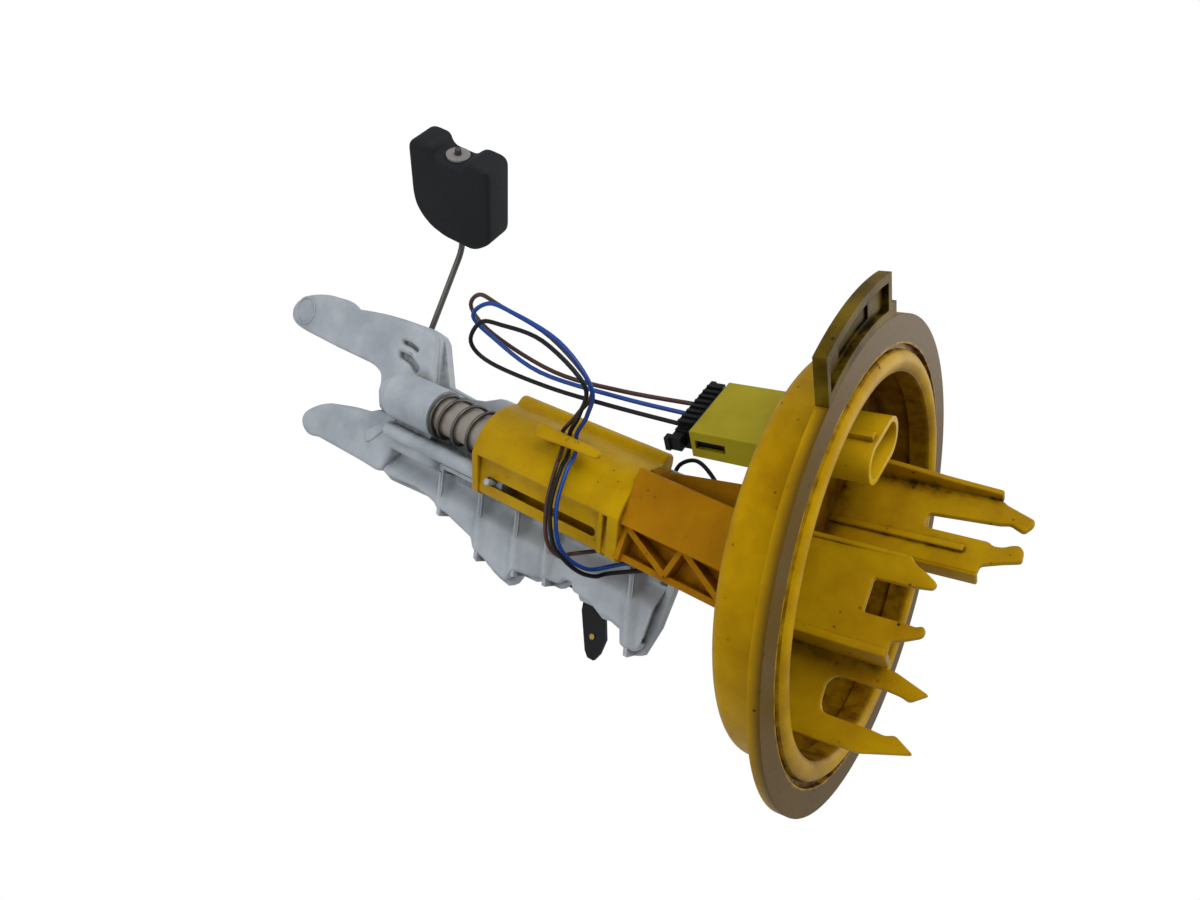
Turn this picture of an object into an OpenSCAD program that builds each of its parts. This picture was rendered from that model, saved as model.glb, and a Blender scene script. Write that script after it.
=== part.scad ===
// Fuel tank sending unit: flange cup, lattice column, sprung carrier, level sensor and float.
// Millimetres. Z is the flange axis and points out of the tank, origin on the rim's front face.

/* [Flange] */

// radius of the flange rim
rim_r = 65; // [58:0.5:75]
// thickness of the flange rim
rim_t = 3; // [2.5:0.1:4]
// inner radius of the flat sealing face on the rim
face_r = 57.6; // [57:0.1:60]
// width of the groove inside the sealing face
groove_w = 1.8; // [1.2:0.1:2.5]
// depth of the groove inside the sealing face
groove_d = 1.4; // [0.6:0.1:1.8]
// half width of the rounded bead at the mouth of the cup
bead_r = 2.9; // [2:0.1:3]
// height of the bead over the rim's face
bead_h = 1.2; // [0.6:0.1:2]
// outside radius of the cup
cup_r = 54.8; // [52:0.1:56]
// wall thickness of the cup
cup_wall = 2.6; // [2:0.1:3.5]
// depth of the cup behind the rim's face
cup_depth = 17.5; // [14:0.5:20]
// thickness of the cup's floor
floor_t = 2.6; // [2:0.1:3.5]
// rounding of the cup's outer bottom edge
edge_round = 3; // [1.5:0.1:4]
// reach of the tab beyond the rim
tab_out = 11.3; // [8:0.1:14]
// half width of the rim tab
tab_half = 19.5; // [16:0.5:22]
// depth of the pocket in the rim tab
tab_pocket = 1.5; // [0.8:0.1:2]
// width of the raised border round the tab's pocket
tab_border = 2.2; // [1.5:0.1:3]
// direction of the rim tab round the axis
tab_turn = 220; // [200:1:240]

/* [Column] */

// offset of the column's axis from the flange axis at the rim
column_x = 10; // [8:0.5:12]
// lean of the column from the flange axis
column_tilt = 9; // [8:0.5:10]
// distance along the column to the start of the spring housing
housing_top = 70; // [66:0.5:74]
// distance along the column to the housing's free end
housing_end = 130; // [126:0.5:134]
// half width of the column across its side faces
column_half = 17; // [16:0.1:18]
// half depth of the column towards its ridge
column_front = 11; // [10.6:0.1:12]
// half depth of the column towards the carrier
column_back = 10.5; // [10.2:0.1:10.9]
// radius of the bore that holds the spring
spring_bore_r = 8.6; // [8.4:0.05:8.8]
// distance along the column to the seat of the spring
spring_seat = 80; // [76:0.5:84]
// distance along the column to the blind end of the guide bore
guide_end = 34; // [32:0.5:35]
// outside radius of the round core in the lattice
core_r = 8.6; // [8:0.1:9]
// thickness of the lattice's flat walls
web_t = 2; // [1.6:0.1:2.6]
// thickness of the lattice's diagonals and posts
brace_t = 1.8; // [1.4:0.1:2.4]
// height of the slot in the side face
slot_w = 2.6; // [2.4:0.1:3]
// distance of the slot from the housing's free end
slot_inset = 6; // [5:0.5:7]
// length of the slot
slot_l = 45; // [42:0.5:47]
// width of the inner channel for the stop rail
channel_w = 6.2; // [6:0.1:6.4]
// depth of the inner channel for the stop rail
channel_d = 9; // [8.4:0.1:9.4]
// offset of the stop rail from the column's axis
channel_x = 12.8; // [12.7:0.1:12.9]
// clearance on each side of the stop rail in its channel
rail_gap = 0.35; // [0.3:0.05:0.5]
// size of the bevel on the housing's free end
end_bevel = 9; // [6:0.5:10]
// height of the raised strip along the housing's top edge
strip_h = 1.6; // [1:0.1:2]

/* [Hook] */

// length of the hook's tongue
hook_l = 21; // [18:0.5:23]
// width of the hook's tongue
hook_w = 5; // [4:0.1:6]
// thickness of the hook's tongue
hook_t = 1.7; // [1.4:0.1:2.2]
// free gap under the hook's tongue
hook_gap = 4.8; // [4.2:0.1:5.4]
// distance along the column to the root of the hook
hook_root = 105; // [103:0.5:107]
// offset of the hook from the column's axis
hook_x = -9.5; // [-11:0.5:-8]

/* [Electrical connections] */

// sideways position of both connectors
plug_x = -30; // [-32:0.5:-29]
// front to back position of both connectors
plug_y = -5; // [-6:0.5:-4]
// turn of both connectors round the flange axis
plug_turn = -49; // [-55:1:-45]
// outside length of the harness socket
socket_l = 24.7; // [23:0.1:26]
// outside width of the harness socket
socket_w = 8.4; // [8:0.1:9]
// distance from the rim's face to the socket's mouth
socket_end = 50; // [46:0.5:54]
// wall thickness of the harness socket
socket_wall = 1.4; // [1.2:0.1:1.6]
// length of the latch window in the socket's narrow side
window_l = 9; // [7:0.5:11]
// outside length of the connector shroud
shroud_l = 22; // [20:0.5:24]
// outside width of the connector shroud
shroud_w = 12; // [11:0.5:13]
// wall thickness of the connector shroud
shroud_wall = 1.5; // [1.2:0.1:1.8]
// depth of the shroud's mouth below the rim's face
shroud_sink = 1; // [0.5:0.1:3]
// spacing of the terminals
pin_pitch = 5; // [4.6:0.1:5.4]
// width of a terminal blade
pin_w = 2.2; // [1.8:0.1:2.6]
// thickness of a terminal blade
pin_t = 0.8; // [0.6:0.1:1]
// free length of the harness plug outside its socket
plug_out = 5.5; // [4:0.5:7]
// clearance of the harness plug in its socket
plug_gap = 0.2; // [0.1:0.05:0.3]

/* [Line combs] */

// thickness of a comb plate
comb_t = 1.8; // [1.5:0.1:2.4]
// width of a comb plate
comb_w = 20; // [18:0.5:22]
// height of the upper comb's tips over the rim's face
comb_high = 34; // [30:1:38]
// height of the middle and lower combs' tips over the rim's face
comb_low = 23; // [20:1:26]
// width of the slot between a comb's prongs
comb_slot = 8.6; // [7:0.1:9.4]
// width of a comb's stiffening rail
comb_rail = 2; // [1.5:0.1:2.5]

/* [Carrier] */

// distance along the column to the carrier's upper end
carrier_top = 56; // [54:0.5:58]
// distance along the column to the root of the feet
feet_root = 188; // [186:0.5:190]
// distance along the column to the tips of the feet
feet_tip = 259; // [254:0.5:264]
// width over the carrier's widest point
carrier_w = 72; // [70:0.5:74]
// distance of the carrier's face from the column's axis
carrier_y = 11.6; // [11.3:0.1:12]
// thickness of the carrier's plate
carrier_t = 3.2; // [2.8:0.1:3.6]
// thickness of the feet
foot_t = 9; // [8:0.5:10]
// free space between the housing's end and the yoke that carries the spring
yoke_gap = 25.5; // [25.2:0.1:27]
// length of the yoke
yoke_l = 30; // [26:0.5:32]
// radius of the guide rod
rod_r = 6.5; // [6.3:0.05:6.6]
// radial clearance of the guide rod in its bore
rod_gap = 0.06; // [0.03:0.01:0.09]
// distance along the column to the guide rod's inner end
rod_end = 74.5; // [73:0.5:76]
// travel of the carrier towards the flange
travel = 25; // [22:0.5:25]
// radius of the spring wire
spring_wire = 0.65; // [0.5:0.05:0.8]
// mean radius of the spring
spring_r = 7.55; // [7.4:0.05:7.7]
// number of turns in the spring
spring_turns = 11; // [9:1:12]
// height of the ribs over the carrier's face
rib_h = 5.4; // [4:0.1:6]
// thickness of the carrier's ribs
rib_t = 1.4; // [1.2:0.1:2]
// radius of the white stop pin
stop_r = 1.1; // [0.9:0.05:1.2]
// distance of the stop pin from the slot's end at rest
stop_inset = 1.8; // [1.4:0.1:2.2]

/* [Level sensor] */

// sideways position of the lever's pivot from the column's axis
pivot_u = 20; // [18:0.5:22]
// distance along the column to the lever's pivot
pivot_l = 110; // [108:0.5:112]
// length of the sensor housing
sensor_l = 46; // [42:0.5:48]
// shift of the sensor housing from the pivot towards the flange
sensor_shift = 8; // [6:0.5:10]
// width of the sensor housing
sensor_w = 36; // [34:0.5:38]
// depth of the sensor housing
sensor_d = 7; // [6.5:0.1:8]
// wall thickness of the sensor housing
sensor_wall = 1.6; // [1.4:0.1:2]
// radius of the pivot pin
pivot_r = 2.5; // [2.2:0.05:3]
// radial clearance of the pivot pin
pivot_gap = 0.05; // [0.03:0.01:0.08]
// radius of the lever's hub
hub_r = 7.5; // [6.5:0.1:8.5]
// thickness of the lever
lever_t = 3.2; // [2.8:0.1:4]
// thickness of the resistor card
card_t = 0.9; // [0.6:0.1:1.2]
// width of the black paddle
paddle_w = 8; // [7:0.1:9]
// reach of the black paddle from the column's axis
paddle_reach = 57; // [54:0.5:60]

/* [Float] */

// radius of the float wire
wire_r = 1.2; // [1:0.05:1.4]
// distance of the float wire's plane from the column's axis
float_y = 28.6; // [28.4:0.1:30]
// thickness of the float
float_t = 13; // [11:0.5:15]
// width of the float
float_w = 36; // [33:0.5:39]
// length of the float along its wire
float_l = 38; // [34:0.5:41]
// free length of the wire between its last bend and the float
float_off = 7.1; // [6:0.1:9]
// bend of the wire's end out of the arm's plane
float_bend = 41.4; // [36:0.1:45]
// turn of the wire's end in the arm's plane
float_turn = -69.7; // [-74:0.1:-66]
// turn of the float round its wire as it rests
float_spin = 19.4; // [0:0.1:30]
// radial clearance of the float on its wire
float_gap = 0.08; // [0.05:0.01:0.1]
// radius of the push-on retainer
retainer_r = 4.4; // [4:0.1:5]
// thickness of the push-on retainer
retainer_t = 0.8; // [0.6:0.1:1]

/* [Wiring] */

// radius of a wire's insulation
cord_r = 0.8; // [0.7:0.05:0.9]

/* [Hidden] */

$fn = 64;

// distance of the tab's straight outer edge from the axis
tab_reach = rim_r + tab_out;

// a length longer than the whole part, for cuts
beyond = 4 * rim_r;

// small overlap that keeps cuts clean
tiny = rim_r / 4000;

// the cup's inner floor
floor_z = floor_t - cup_depth;

// ends of the slot along the column
slot_low = housing_end - slot_inset;
slot_high = slot_low - slot_l;

// distance along the column to the stop pin at rest
stop_at = slot_low - stop_inset;

// distance along the column to the yoke's face
yoke_face = housing_end + yoke_gap;

// length of the spring at rest
spring_l = yoke_face - spring_seat;

// guide bore radius
guide_r = rod_r + rod_gap;

// outline of the column's section, as shares of its half width and half depths
section_shares = [[1, -0.3], [1, 0.5], [0.76, 1], [-0.72, 1], [-1, 0.5], [-1, -0.2],
    [-0.71, -0.68], [0.36, -1], [0.66, -0.9]];

// outline of the carrier's plate, as shares of its width and its length
plate_shares = [[-0.16, 0], [0.32, 0], [0.49, 0.003], [0.63, 0.02], [0.643, 0.035],
    [0.643, 0.067], [0.579, 0.086], [0.562, 0.128], [0.569, 0.152], [0.54, 0.189],
    [0.546, 0.228], [0.5, 0.25], [0.505, 0.275], [0.542, 0.291], [0.549, 0.35],
    [0.568, 0.365], [0.572, 0.405], [0.581, 0.42], [0.629, 0.43], [0.651, 0.443],
    [0.64, 0.48], [0.626, 0.507], [0.574, 0.571], [0.536, 0.6], [0.48, 0.73], [0.45, 0.8],
    [0.464, 0.95], [0.435, 1], [-0.354, 1], [-0.345, 0.95], [-0.337, 0.93], [-0.31, 0.91],
    [-0.113, 0.847], [-0.1, 0.757], [-0.118, 0.71], [-0.16, 0.66]];

// places of the carrier's ribs, as shares of its length
rib_shares = [0.11, 0.37, 0.475, 0.605, 0.755];

// outline of the upper foot, as shares of the carrier's width and the feet's length
upper_foot_shares = [[-0.354, 0], [-0.35, 0.223], [-0.335, 0.35], [-0.319, 0.459],
    [-0.3, 0.53], [-0.325, 0.575], [-0.337, 0.64], [-0.335, 0.72], [-0.317, 0.811],
    [-0.29, 0.893], [-0.26, 0.948], [-0.215, 0.985], [-0.174, 0.994], [-0.13, 0.975],
    [-0.105, 0.93], [-0.094, 0.845], [-0.081, 0.553], [-0.074, 0.228], [-0.054, 0.159],
    [-0.028, 0.134], [0.058, 0.121], [0.11, 0.09], [0.129, 0.079], [0.129, 0]];

// outline of the lower foot, as shares of the carrier's width and the feet's length
lower_foot_shares = [[0.129, 0], [0.129, 0.079], [0.165, 0.139], [0.179, 0.215],
    [0.194, 0.338], [0.221, 0.468], [0.25, 0.53], [0.282, 0.586], [0.31, 0.62],
    [0.339, 0.639], [0.37, 0.643], [0.39, 0.638], [0.42, 0.613], [0.436, 0.57],
    [0.436, 0.535], [0.424, 0.485], [0.426, 0.315], [0.435, 0]];

// places of the combs in the cup, as shares of its radius
comb_upper_share = [-0.255, 0.219, 0];
comb_middle_share = [0.1, -0.347, 0];
comb_lower_share = [0.584, -0.31, 0];

// half of a comb's outline, as shares of its half width and its height
comb_shares = [[1, 0], [1, 0.78], [1.08, 0.83], [1.08, 0.88], [0.84, 1], [0.72, 0.98],
    [0.66, 0.92]];

// outline of the float, as shares of its width and its length
float_shares = [[-0.1, 0], [0.27, 0], [0.3, 0.01], [0.47, 0.15], [0.5, 0.2], [0.5, 0.95],
    [0.46, 1], [0.23, 1], [0.12, 0.89], [-0.17, 0.89], [-0.21, 1], [-0.42, 1], [-0.5, 0.95],
    [-0.5, 0.36], [-0.485, 0.27], [-0.42, 0.17], [-0.3, 0.07], [-0.2, 0.02]];

// outline of the sensor's paddle, as shares of its reach and its width
paddle_shares = [[0, 0], [0.26, 0.11], [0.86, 0.86], [0.95, 1.08], [0.95, 1.38], [0.8, 1.55],
    [0.53, 1.6], [0.19, 1.24], [0, 1.24]];

// turning point of the float wire behind the carrier, as shares of its reach
elbow_in = [-0.1 * carrier_w, -1.082 * feet_root];
elbow_out = [-0.8163 * carrier_w, -1.0596 * feet_root];
pivot = [pivot_u, -pivot_l];

// how far each length of the float wire runs past its bends, as a share of itself
bend_share = 0.012;

function along_line(a, b, share) = [a[0] + (b[0] - a[0]) * share, a[1] + (b[1] - a[1]) * share];
function turn_of(a, b) = atan2(b[0] - a[0], b[1] - a[1]);
function scaled(list, sx, sy) = [for (p = list) [p[0] * sx, p[1] * sy]];
function mirrored(list) = concat(list, [for (i = [len(list) - 1:-1:0]) [-list[i][0], list[i][1]]]);

// route of the brown wire from the plug to the sensor
brown_route = [[-33, -9, -79], [-35, -12, -102], [-43, -17, -124], [-50, -21, -132],
    [-54, -24, -127], [-51, -26, -116], [-44, -25, -96], [-32, -20, -86], [-24, -14.5, -92],
    [-18, -11.7, -94.5], [-14.6, -10.5, -94.5], [-10.5, -11.2, -94.2], [-6.6, -14.2, -92.8],
    [4.9, -14.5, -93.2], [15.3, -13, -91.7], [19.8, -8, -89.7], [19.4, -1, -90.1],
    [16.3, 4.5, -82], [14, 9.1, -74.5], [13.5, 9.7, -67.4], [14, 9.5, -59.4],
    [15.1, 12.2, -52.4], [15.2, 17.3, -55.5]];

// route of the blue wire from the plug to the sensor
blue_route = [[-31, -12, -78], [-34, -15, -105], [-42, -20, -122], [-47, -25, -127],
    [-51, -27, -121], [-50, -28, -112], [-43, -28, -91], [-32, -24, -83], [-24, -17, -86],
    [-18, -11.7, -89.4], [-13.8, -10.5, -89.4], [-10, -11.6, -89], [-7.5, -14.8, -88.1],
    [3.7, -17.5, -87.5], [13.8, -16, -85.8], [18.8, -12, -83.7], [21.2, -7, -80.6],
    [21.5, -1, -79.7], [18.2, 4.5, -73.2], [17.3, 5.8, -68], [12.9, 7.4, -62.2],
    [11, 9.6, -55.3], [11.3, 13, -51.3], [11.1, 17.8, -56.9]];

// route of the black wire from the plug to the sensor
black_route = [[-28, -15, -78], [-30, -17, -100], [-34, -21, -120], [-39, -26, -127],
    [-45, -29, -122], [-45, -30, -111], [-42, -31, -94], [-32, -27, -86], [-24, -18, -90],
    [-18, -11.7, -91.9], [-14.2, -10.5, -91.9], [-10.2, -11.4, -91.5], [-6.8, -16.4, -89.4],
    [3.9, -19.5, -88.3], [14.4, -18.5, -85.7], [19.4, -14.2, -82.9], [22.4, -9, -80.3],
    [23.4, -3, -78.5], [22.3, 2, -77], [18.4, 6.5, -66.1], [15.1, 7, -57.5], [11, 9.5, -48.2],
    [7.9, 13.5, -45.2], [6.4, 18, -52.1]];

// colours of the materials
yellow = [0.72, 0.58, 0.06];
white = [0.8, 0.8, 0.78];
black = [0.08, 0.08, 0.09];
steel = [0.45, 0.43, 0.4];
brass = [0.7, 0.55, 0.25];

// the leaning frame of the column, its axis along Z
module in_column() {
    translate([column_x, 0, 0])
        rotate([0, column_tilt, 0])
            children();
}

// the frame of both connectors, their long side along X
module in_plug() {
    translate([plug_x, plug_y, 0])
        rotate([0, 0, plug_turn])
            children();
}

// a plate in the leaning frame, drawn in its own side view, from y1 to y2
module side_plate(points, y1, y2) {
    translate([0, y2, 0])
        rotate([90, 0, 0])
            linear_extrude(y2 - y1)
                polygon(points);
}

// a box given by its two corners
module span_box(a, b) {
    translate(a)
        cube([b[0] - a[0], b[1] - a[1], b[2] - a[2]]);
}

// a box standing on a level, centred on its axis
module post_box(l, w, z1, z2) {
    translate([-l / 2, -w / 2, z1])
        cube([l, w, z2 - z1]);
}

// everything above the underside of the cup
module above_floor() {
    translate([-beyond / 2, -beyond / 2, -cup_depth])
        cube([beyond, beyond, beyond]);
}

// the flange's turned section
module flange_section() {
    difference() {
        union() {
            translate([0, -rim_t])
                square([rim_r, rim_t]);
            translate([0, -cup_depth])
                square([cup_r, cup_depth - rim_t + tiny]);
            intersection() {
                translate([cup_r - bead_r / 2, bead_h - bead_r])
                    circle(bead_r);
                translate([0, -rim_t])
                    square([rim_r, beyond]);
            }
        }
        translate([0, floor_z])
            square([cup_r - cup_wall - bead_r / 2, beyond]);
        translate([0, floor_z])
            square([cup_r - cup_wall, cup_depth - floor_t - 2 * bead_r]);
        translate([face_r - groove_w, -groove_d])
            difference() {
                square([groove_w, beyond]);
                translate([cup_r - bead_r / 2 - face_r + groove_w, bead_h - bead_r + groove_d])
                    circle(bead_r);
            }
        translate([cup_r - edge_round, -cup_depth])
            difference() {
                translate([0, -tiny])
                    square([edge_round + tiny, edge_round + tiny]);
                translate([0, edge_round])
                    circle(edge_round);
            }
    }
}

module flange_cup() {
    color(yellow)
        difference() {
            rotate_extrude($fn = 180)
                flange_section();
            in_plug()
                for (i = [-1:1])
                    translate([i * pin_pitch, 0, 0])
                        post_box(pin_w, pin_t, -cup_depth - floor_t, floor_z + floor_t);
        }
}

// a disc, trimmed to the tab's width
module tab_sector(r, y1, y2, z1, z2) {
    intersection() {
        translate([0, 0, z1])
            cylinder(r = r, h = z2 - z1, $fn = 180);
        span_box([0, y1, z1 - tiny], [beyond, y2, z2 + tiny]);
    }
}

module rim_tab() {
    color(yellow)
        rotate([0, 0, tab_turn])
            difference() {
                union() {
                    tab_sector(tab_reach, -tab_half, tab_half, -rim_t, 0);
                    tab_sector(rim_r + tab_out / 3, -1.16 * tab_half, tab_half, -rim_t, 0);
                }
                translate([0, 0, -beyond / 2])
                    cylinder(r = rim_r, h = beyond, $fn = 180);
                difference() {
                    tab_sector(tab_reach - tab_border, tab_border - tab_half, 0.92 * tab_half,
                        -tab_pocket, beyond);
                    translate([0, 0, -beyond])
                        cylinder(r = rim_r + tab_border, h = 2 * beyond, $fn = 180);
                }
                difference() {
                    tab_sector(tab_reach - 2 * tab_border, 0.1 * tab_half - tab_half / 2,
                        0.5 * tab_half, -1.4 * tab_pocket, beyond);
                    translate([0, 0, -beyond])
                        cylinder(r = rim_r + 1.5 * tab_border, h = 2 * beyond, $fn = 180);
                }
            }
}

// the housing's section, ridge towards the viewer
module column_section() {
    polygon([for (p = section_shares)
        [p[0] * column_half, p[1] * (p[1] < 0 ? column_front : column_back)]]);
}

// a straight brace between two points of the lattice's side view
module brace(a, b) {
    length = norm([b[0] - a[0], b[1] - a[1]]);
    translate([a[0], 0, a[1]])
        rotate([0, turn_of(a, b), 0])
            translate([-brace_t / 2, 0, 0])
                cube([brace_t, web_t + core_r / 2, length]);
}

module support_column() {
    ridge = 0.36 * column_half;
    low = column_half - web_t;
    step = (housing_top - cup_depth) / 3;
    color(yellow)
        difference() {
            union() {
                in_column() {
                    translate([0, 0, -housing_top])
                        cylinder(r = core_r, h = housing_top);
                    span_box([-0.66 * column_half, -column_front + web_t, -housing_top],
                        [ridge, -column_front + 2 * web_t, 0]);
                    span_box([ridge - web_t, -column_front + web_t, -housing_top], [ridge, 0, 0]);
                    span_box([low, -0.45 * column_front, -housing_top],
                        [column_half, 0.5 * column_back, 0]);
                    span_box([0, -web_t / 2, -housing_top], [low + tiny, web_t / 2, 0]);
                    translate([0, -0.59 * column_front, 0]) {
                        span_box([ridge - web_t, 0, -housing_top],
                            [column_half, web_t + core_r / 2, brace_t - housing_top]);
                        brace([ridge, -housing_top], [low, step - housing_top]);
                        brace([low, step - housing_top], [ridge, 1.15 * step - housing_top]);
                        brace([ridge, 1.2 * step - housing_top], [low, 2.1 * step - housing_top]);
                    }
                }
                in_column()
                    side_plate([[0, -housing_top], [0, 0], [-1.5 * column_half, 0],
                        [-1.1 * column_half, -0.5 * housing_top],
                        [-0.66 * column_half, -housing_top]], -web_t / 2, web_t / 2);
            }
            above_floor();
            in_column()
                translate([-beyond / 2, -beyond / 2, -housing_top - beyond])
                    cube([beyond, beyond, beyond]);
            in_column()
                translate([0, 0, -housing_top - tiny])
                    cylinder(r = guide_r, h = housing_top - guide_end + tiny);
        }
}

module spring_housing() {
    rail_z = slot_high - slot_w;
    color(yellow)
        in_column()
            difference() {
                union() {
                    translate([0, 0, -housing_end])
                        linear_extrude(housing_end - housing_top)
                            column_section();
                    span_box([-column_half, -0.2 * column_front - strip_h, -housing_end + end_bevel],
                        [-column_half + 2 * strip_h, 0, -housing_top]);
                }
                translate([0, 0, -housing_end - tiny])
                    cylinder(r = spring_bore_r, h = housing_end - spring_seat + tiny);
                translate([0, 0, -beyond / 2])
                    cylinder(r = guide_r, h = beyond);
                translate([channel_x, channel_w / 2 - channel_d / 2, -housing_end - tiny])
                    cylinder(r = channel_w / 2, h = housing_end - rail_z + tiny);
                span_box([channel_x - channel_w / 2, channel_w / 2 - channel_d / 2,
                    -housing_end - tiny], [channel_x + channel_w / 2, channel_d / 2, -rail_z]);
                span_box([channel_x - slot_w / 2, -beyond / 2, -slot_low],
                    [channel_x + slot_w / 2, -channel_d / 4, -slot_high]);
                translate([0, beyond / 2, -housing_end])
                    rotate([90, 0, 0])
                        linear_extrude(beyond)
                            polygon([[-column_half - end_bevel, -end_bevel],
                                [end_bevel - column_half, -tiny],
                                [end_bevel - column_half, 0],
                                [-column_half - end_bevel, 2 * end_bevel]]);
            }
}

module wire_hook() {
    foot_z = 0.8 * column_front;
    color(yellow)
        in_column()
            difference() {
                union() {
                    span_box([hook_x - hook_w / 2, -foot_z - hook_gap - hook_t, -hook_root],
                        [hook_x + hook_w / 2, -foot_z - hook_gap, hook_l - hook_root]);
                    span_box([hook_x - hook_w / 2, -foot_z - hook_gap - hook_t, -hook_root],
                        [hook_x + hook_w / 2, 0, 2 * hook_t - hook_root]);
                }
                translate([0, 0, -housing_end])
                    linear_extrude(housing_end)
                        column_section();
            }
}

module harness_socket() {
    color(yellow)
        in_plug()
            difference() {
                post_box(socket_l, socket_w, -socket_end, -cup_depth);
                post_box(socket_l - 2 * socket_wall, socket_w - 2 * socket_wall,
                    -socket_end - tiny, -cup_depth - socket_wall);
                translate([socket_l / 2, 0, 0])
                    post_box(2 * socket_wall + 2 * tiny, socket_w - 4 * socket_wall,
                        socket_wall - socket_end, socket_wall + window_l - socket_end);
                for (i = [-1:1])
                    translate([i * pin_pitch, 0, 0])
                        post_box(pin_w, pin_t, -socket_end, 0);
            }
}

// a bar with rounded narrow ends
module round_bar(l, w, z1, z2) {
    translate([0, 0, z1])
        linear_extrude(z2 - z1)
            union() {
                square([l - w, w], center = true);
                translate([(w - l) / 2, 0])
                    circle(w / 2);
                translate([(l - w) / 2, 0])
                    circle(w / 2);
            }
}

module connector_shroud() {
    color(yellow)
        in_plug() {
            difference() {
                round_bar(shroud_l, shroud_w, floor_z, -shroud_sink);
                round_bar(shroud_l - 2 * shroud_wall, shroud_w - 2 * shroud_wall,
                    floor_z - tiny, tiny);
            }
            span_box([pin_pitch / 2, -shroud_w / 2 - shroud_wall, floor_z],
                [pin_pitch, -shroud_w / 2, -2 * shroud_sink]);
        }
}

// a comb plate that stands on the cup's floor, its slot round at the bottom
module comb(tips) {
    h = tips - floor_z;
    inner = comb_slot / comb_w;
    right = concat(comb_shares, [[inner, 0.86], [inner, 0.56]]);
    difference() {
        union() {
            translate([0, comb_t / 2, floor_z])
                rotate([90, 0, 0])
                    linear_extrude(comb_t)
                        polygon(scaled(mirrored(right), comb_w / 2, h));
            span_box([-comb_w / 2 - comb_t / 2, -comb_t, floor_z],
                [-comb_w / 2 + comb_t / 2, comb_t, 0.72 * h + floor_z]);
            span_box([comb_w / 2 - comb_t / 2, -comb_t, floor_z],
                [comb_w / 2 + comb_t / 2, comb_t / 2, 0.6 * h + floor_z]);
            span_box([comb_w / 4, -comb_t / 2 - comb_rail, floor_z],
                [comb_w / 4 + comb_rail, 0, 0.46 * h + floor_z]);
            span_box([-comb_w / 2, -comb_t / 2 - comb_rail / 2, 0.44 * h + floor_z],
                [comb_w / 2, 0, 0.44 * h + floor_z + comb_rail / 2]);
        }
        translate([0, -beyond / 2, 0.56 * h + floor_z])
            rotate([-90, 0, 0])
                cylinder(r = comb_slot / 2 + tiny, h = beyond);
    }
}

module line_comb_upper() {
    color(yellow)
        translate(comb_upper_share * cup_r)
            rotate([0, 0, -35])
                comb(comb_high);
}

module line_comb_middle() {
    color(yellow)
        translate(comb_middle_share * cup_r)
            rotate([0, 0, -24])
                comb(comb_low);
}

module line_comb_lower() {
    color(yellow)
        translate(comb_lower_share * cup_r)
            rotate([0, 0, -22])
                comb(comb_low);
}

module connector_terminals() {
    color(brass)
        in_plug()
            for (i = [-1:1])
                translate([i * pin_pitch, 0, 0])
                    post_box(pin_w, pin_t, -0.7 * socket_end, -4 * shroud_sink);
}

module harness_plug() {
    gap = 2 * socket_wall + 2 * plug_gap;
    color(black)
        in_plug()
            difference() {
                union() {
                    post_box(socket_l - gap, socket_w - gap, -socket_end - plug_out,
                        -0.5 * socket_end);
                    post_box(socket_l - 2 * gap, socket_w - plug_gap, -socket_end - plug_out,
                        -socket_end - plug_gap);
                }
                for (i = [-1:1])
                    translate([i * pin_pitch, 0, 0]) {
                        post_box(pin_w, pin_t, -0.7 * socket_end, 0);
                        translate([0, 0, -socket_end - plug_out - tiny])
                            cylinder(r = 1.6 * cord_r, h = plug_out);
                    }
            }
}

module plug_latches() {
    gap = socket_wall + plug_gap;
    x1 = socket_l / 2 - gap;
    low = -socket_end - plug_out;
    color(black)
        in_plug()
            for (s = [-1, 1])
                scale([1, 1, 1])
                    rotate([0, 0, s > 0 ? 0 : 180]) {
                        span_box([x1, -socket_w / 4, low],
                            [x1 + 2 * gap, socket_w / 4, low + 2 * gap]);
                        span_box([x1 + gap, -socket_w / 4, low - gap],
                            [x1 + 2.4 * gap, socket_w / 4, low]);
                    }
}

// a coil of round wire along Z, swept as one tube
module coil(r, wire, height, turns) {
    steps = 20;
    sides = 10;
    rings = steps * turns;
    closed = 2.4 * wire;
    pitch = (height - 2 * wire - closed) / (turns - 1);
    points = [for (i = [0:rings], j = [0:sides - 1])
        let (a = 360 * i / steps, b = 360 * j / sides)
        [(r + wire * cos(b)) * cos(a), (r + wire * cos(b)) * sin(a),
            wire + closed * min(i / steps, 1) + pitch * max(i / steps - 1, 0) + wire * sin(b)]];
    walls = [for (i = [0:rings - 1], j = [0:sides - 1])
        [i * sides + j, (i + 1) * sides + j, (i + 1) * sides + (j + 1) % sides,
            i * sides + (j + 1) % sides]];
    polyhedron(points, concat(walls, [[for (j = [0:sides - 1]) j],
        [for (j = [sides - 1:-1:0]) rings * sides + j]]), convexity = 20);
}

module pressure_spring() {
    color(steel)
        in_column()
            translate([0, 0, -yoke_face])
                coil(spring_r, spring_wire, spring_l, spring_turns);
}

// the carrier's outline in the leaning side view
module carrier_outline(share) {
    length = feet_root - carrier_top;
    polygon([for (p = plate_shares) [p[0] * share * carrier_w, -carrier_top - p[1] * length]]);
}

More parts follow.
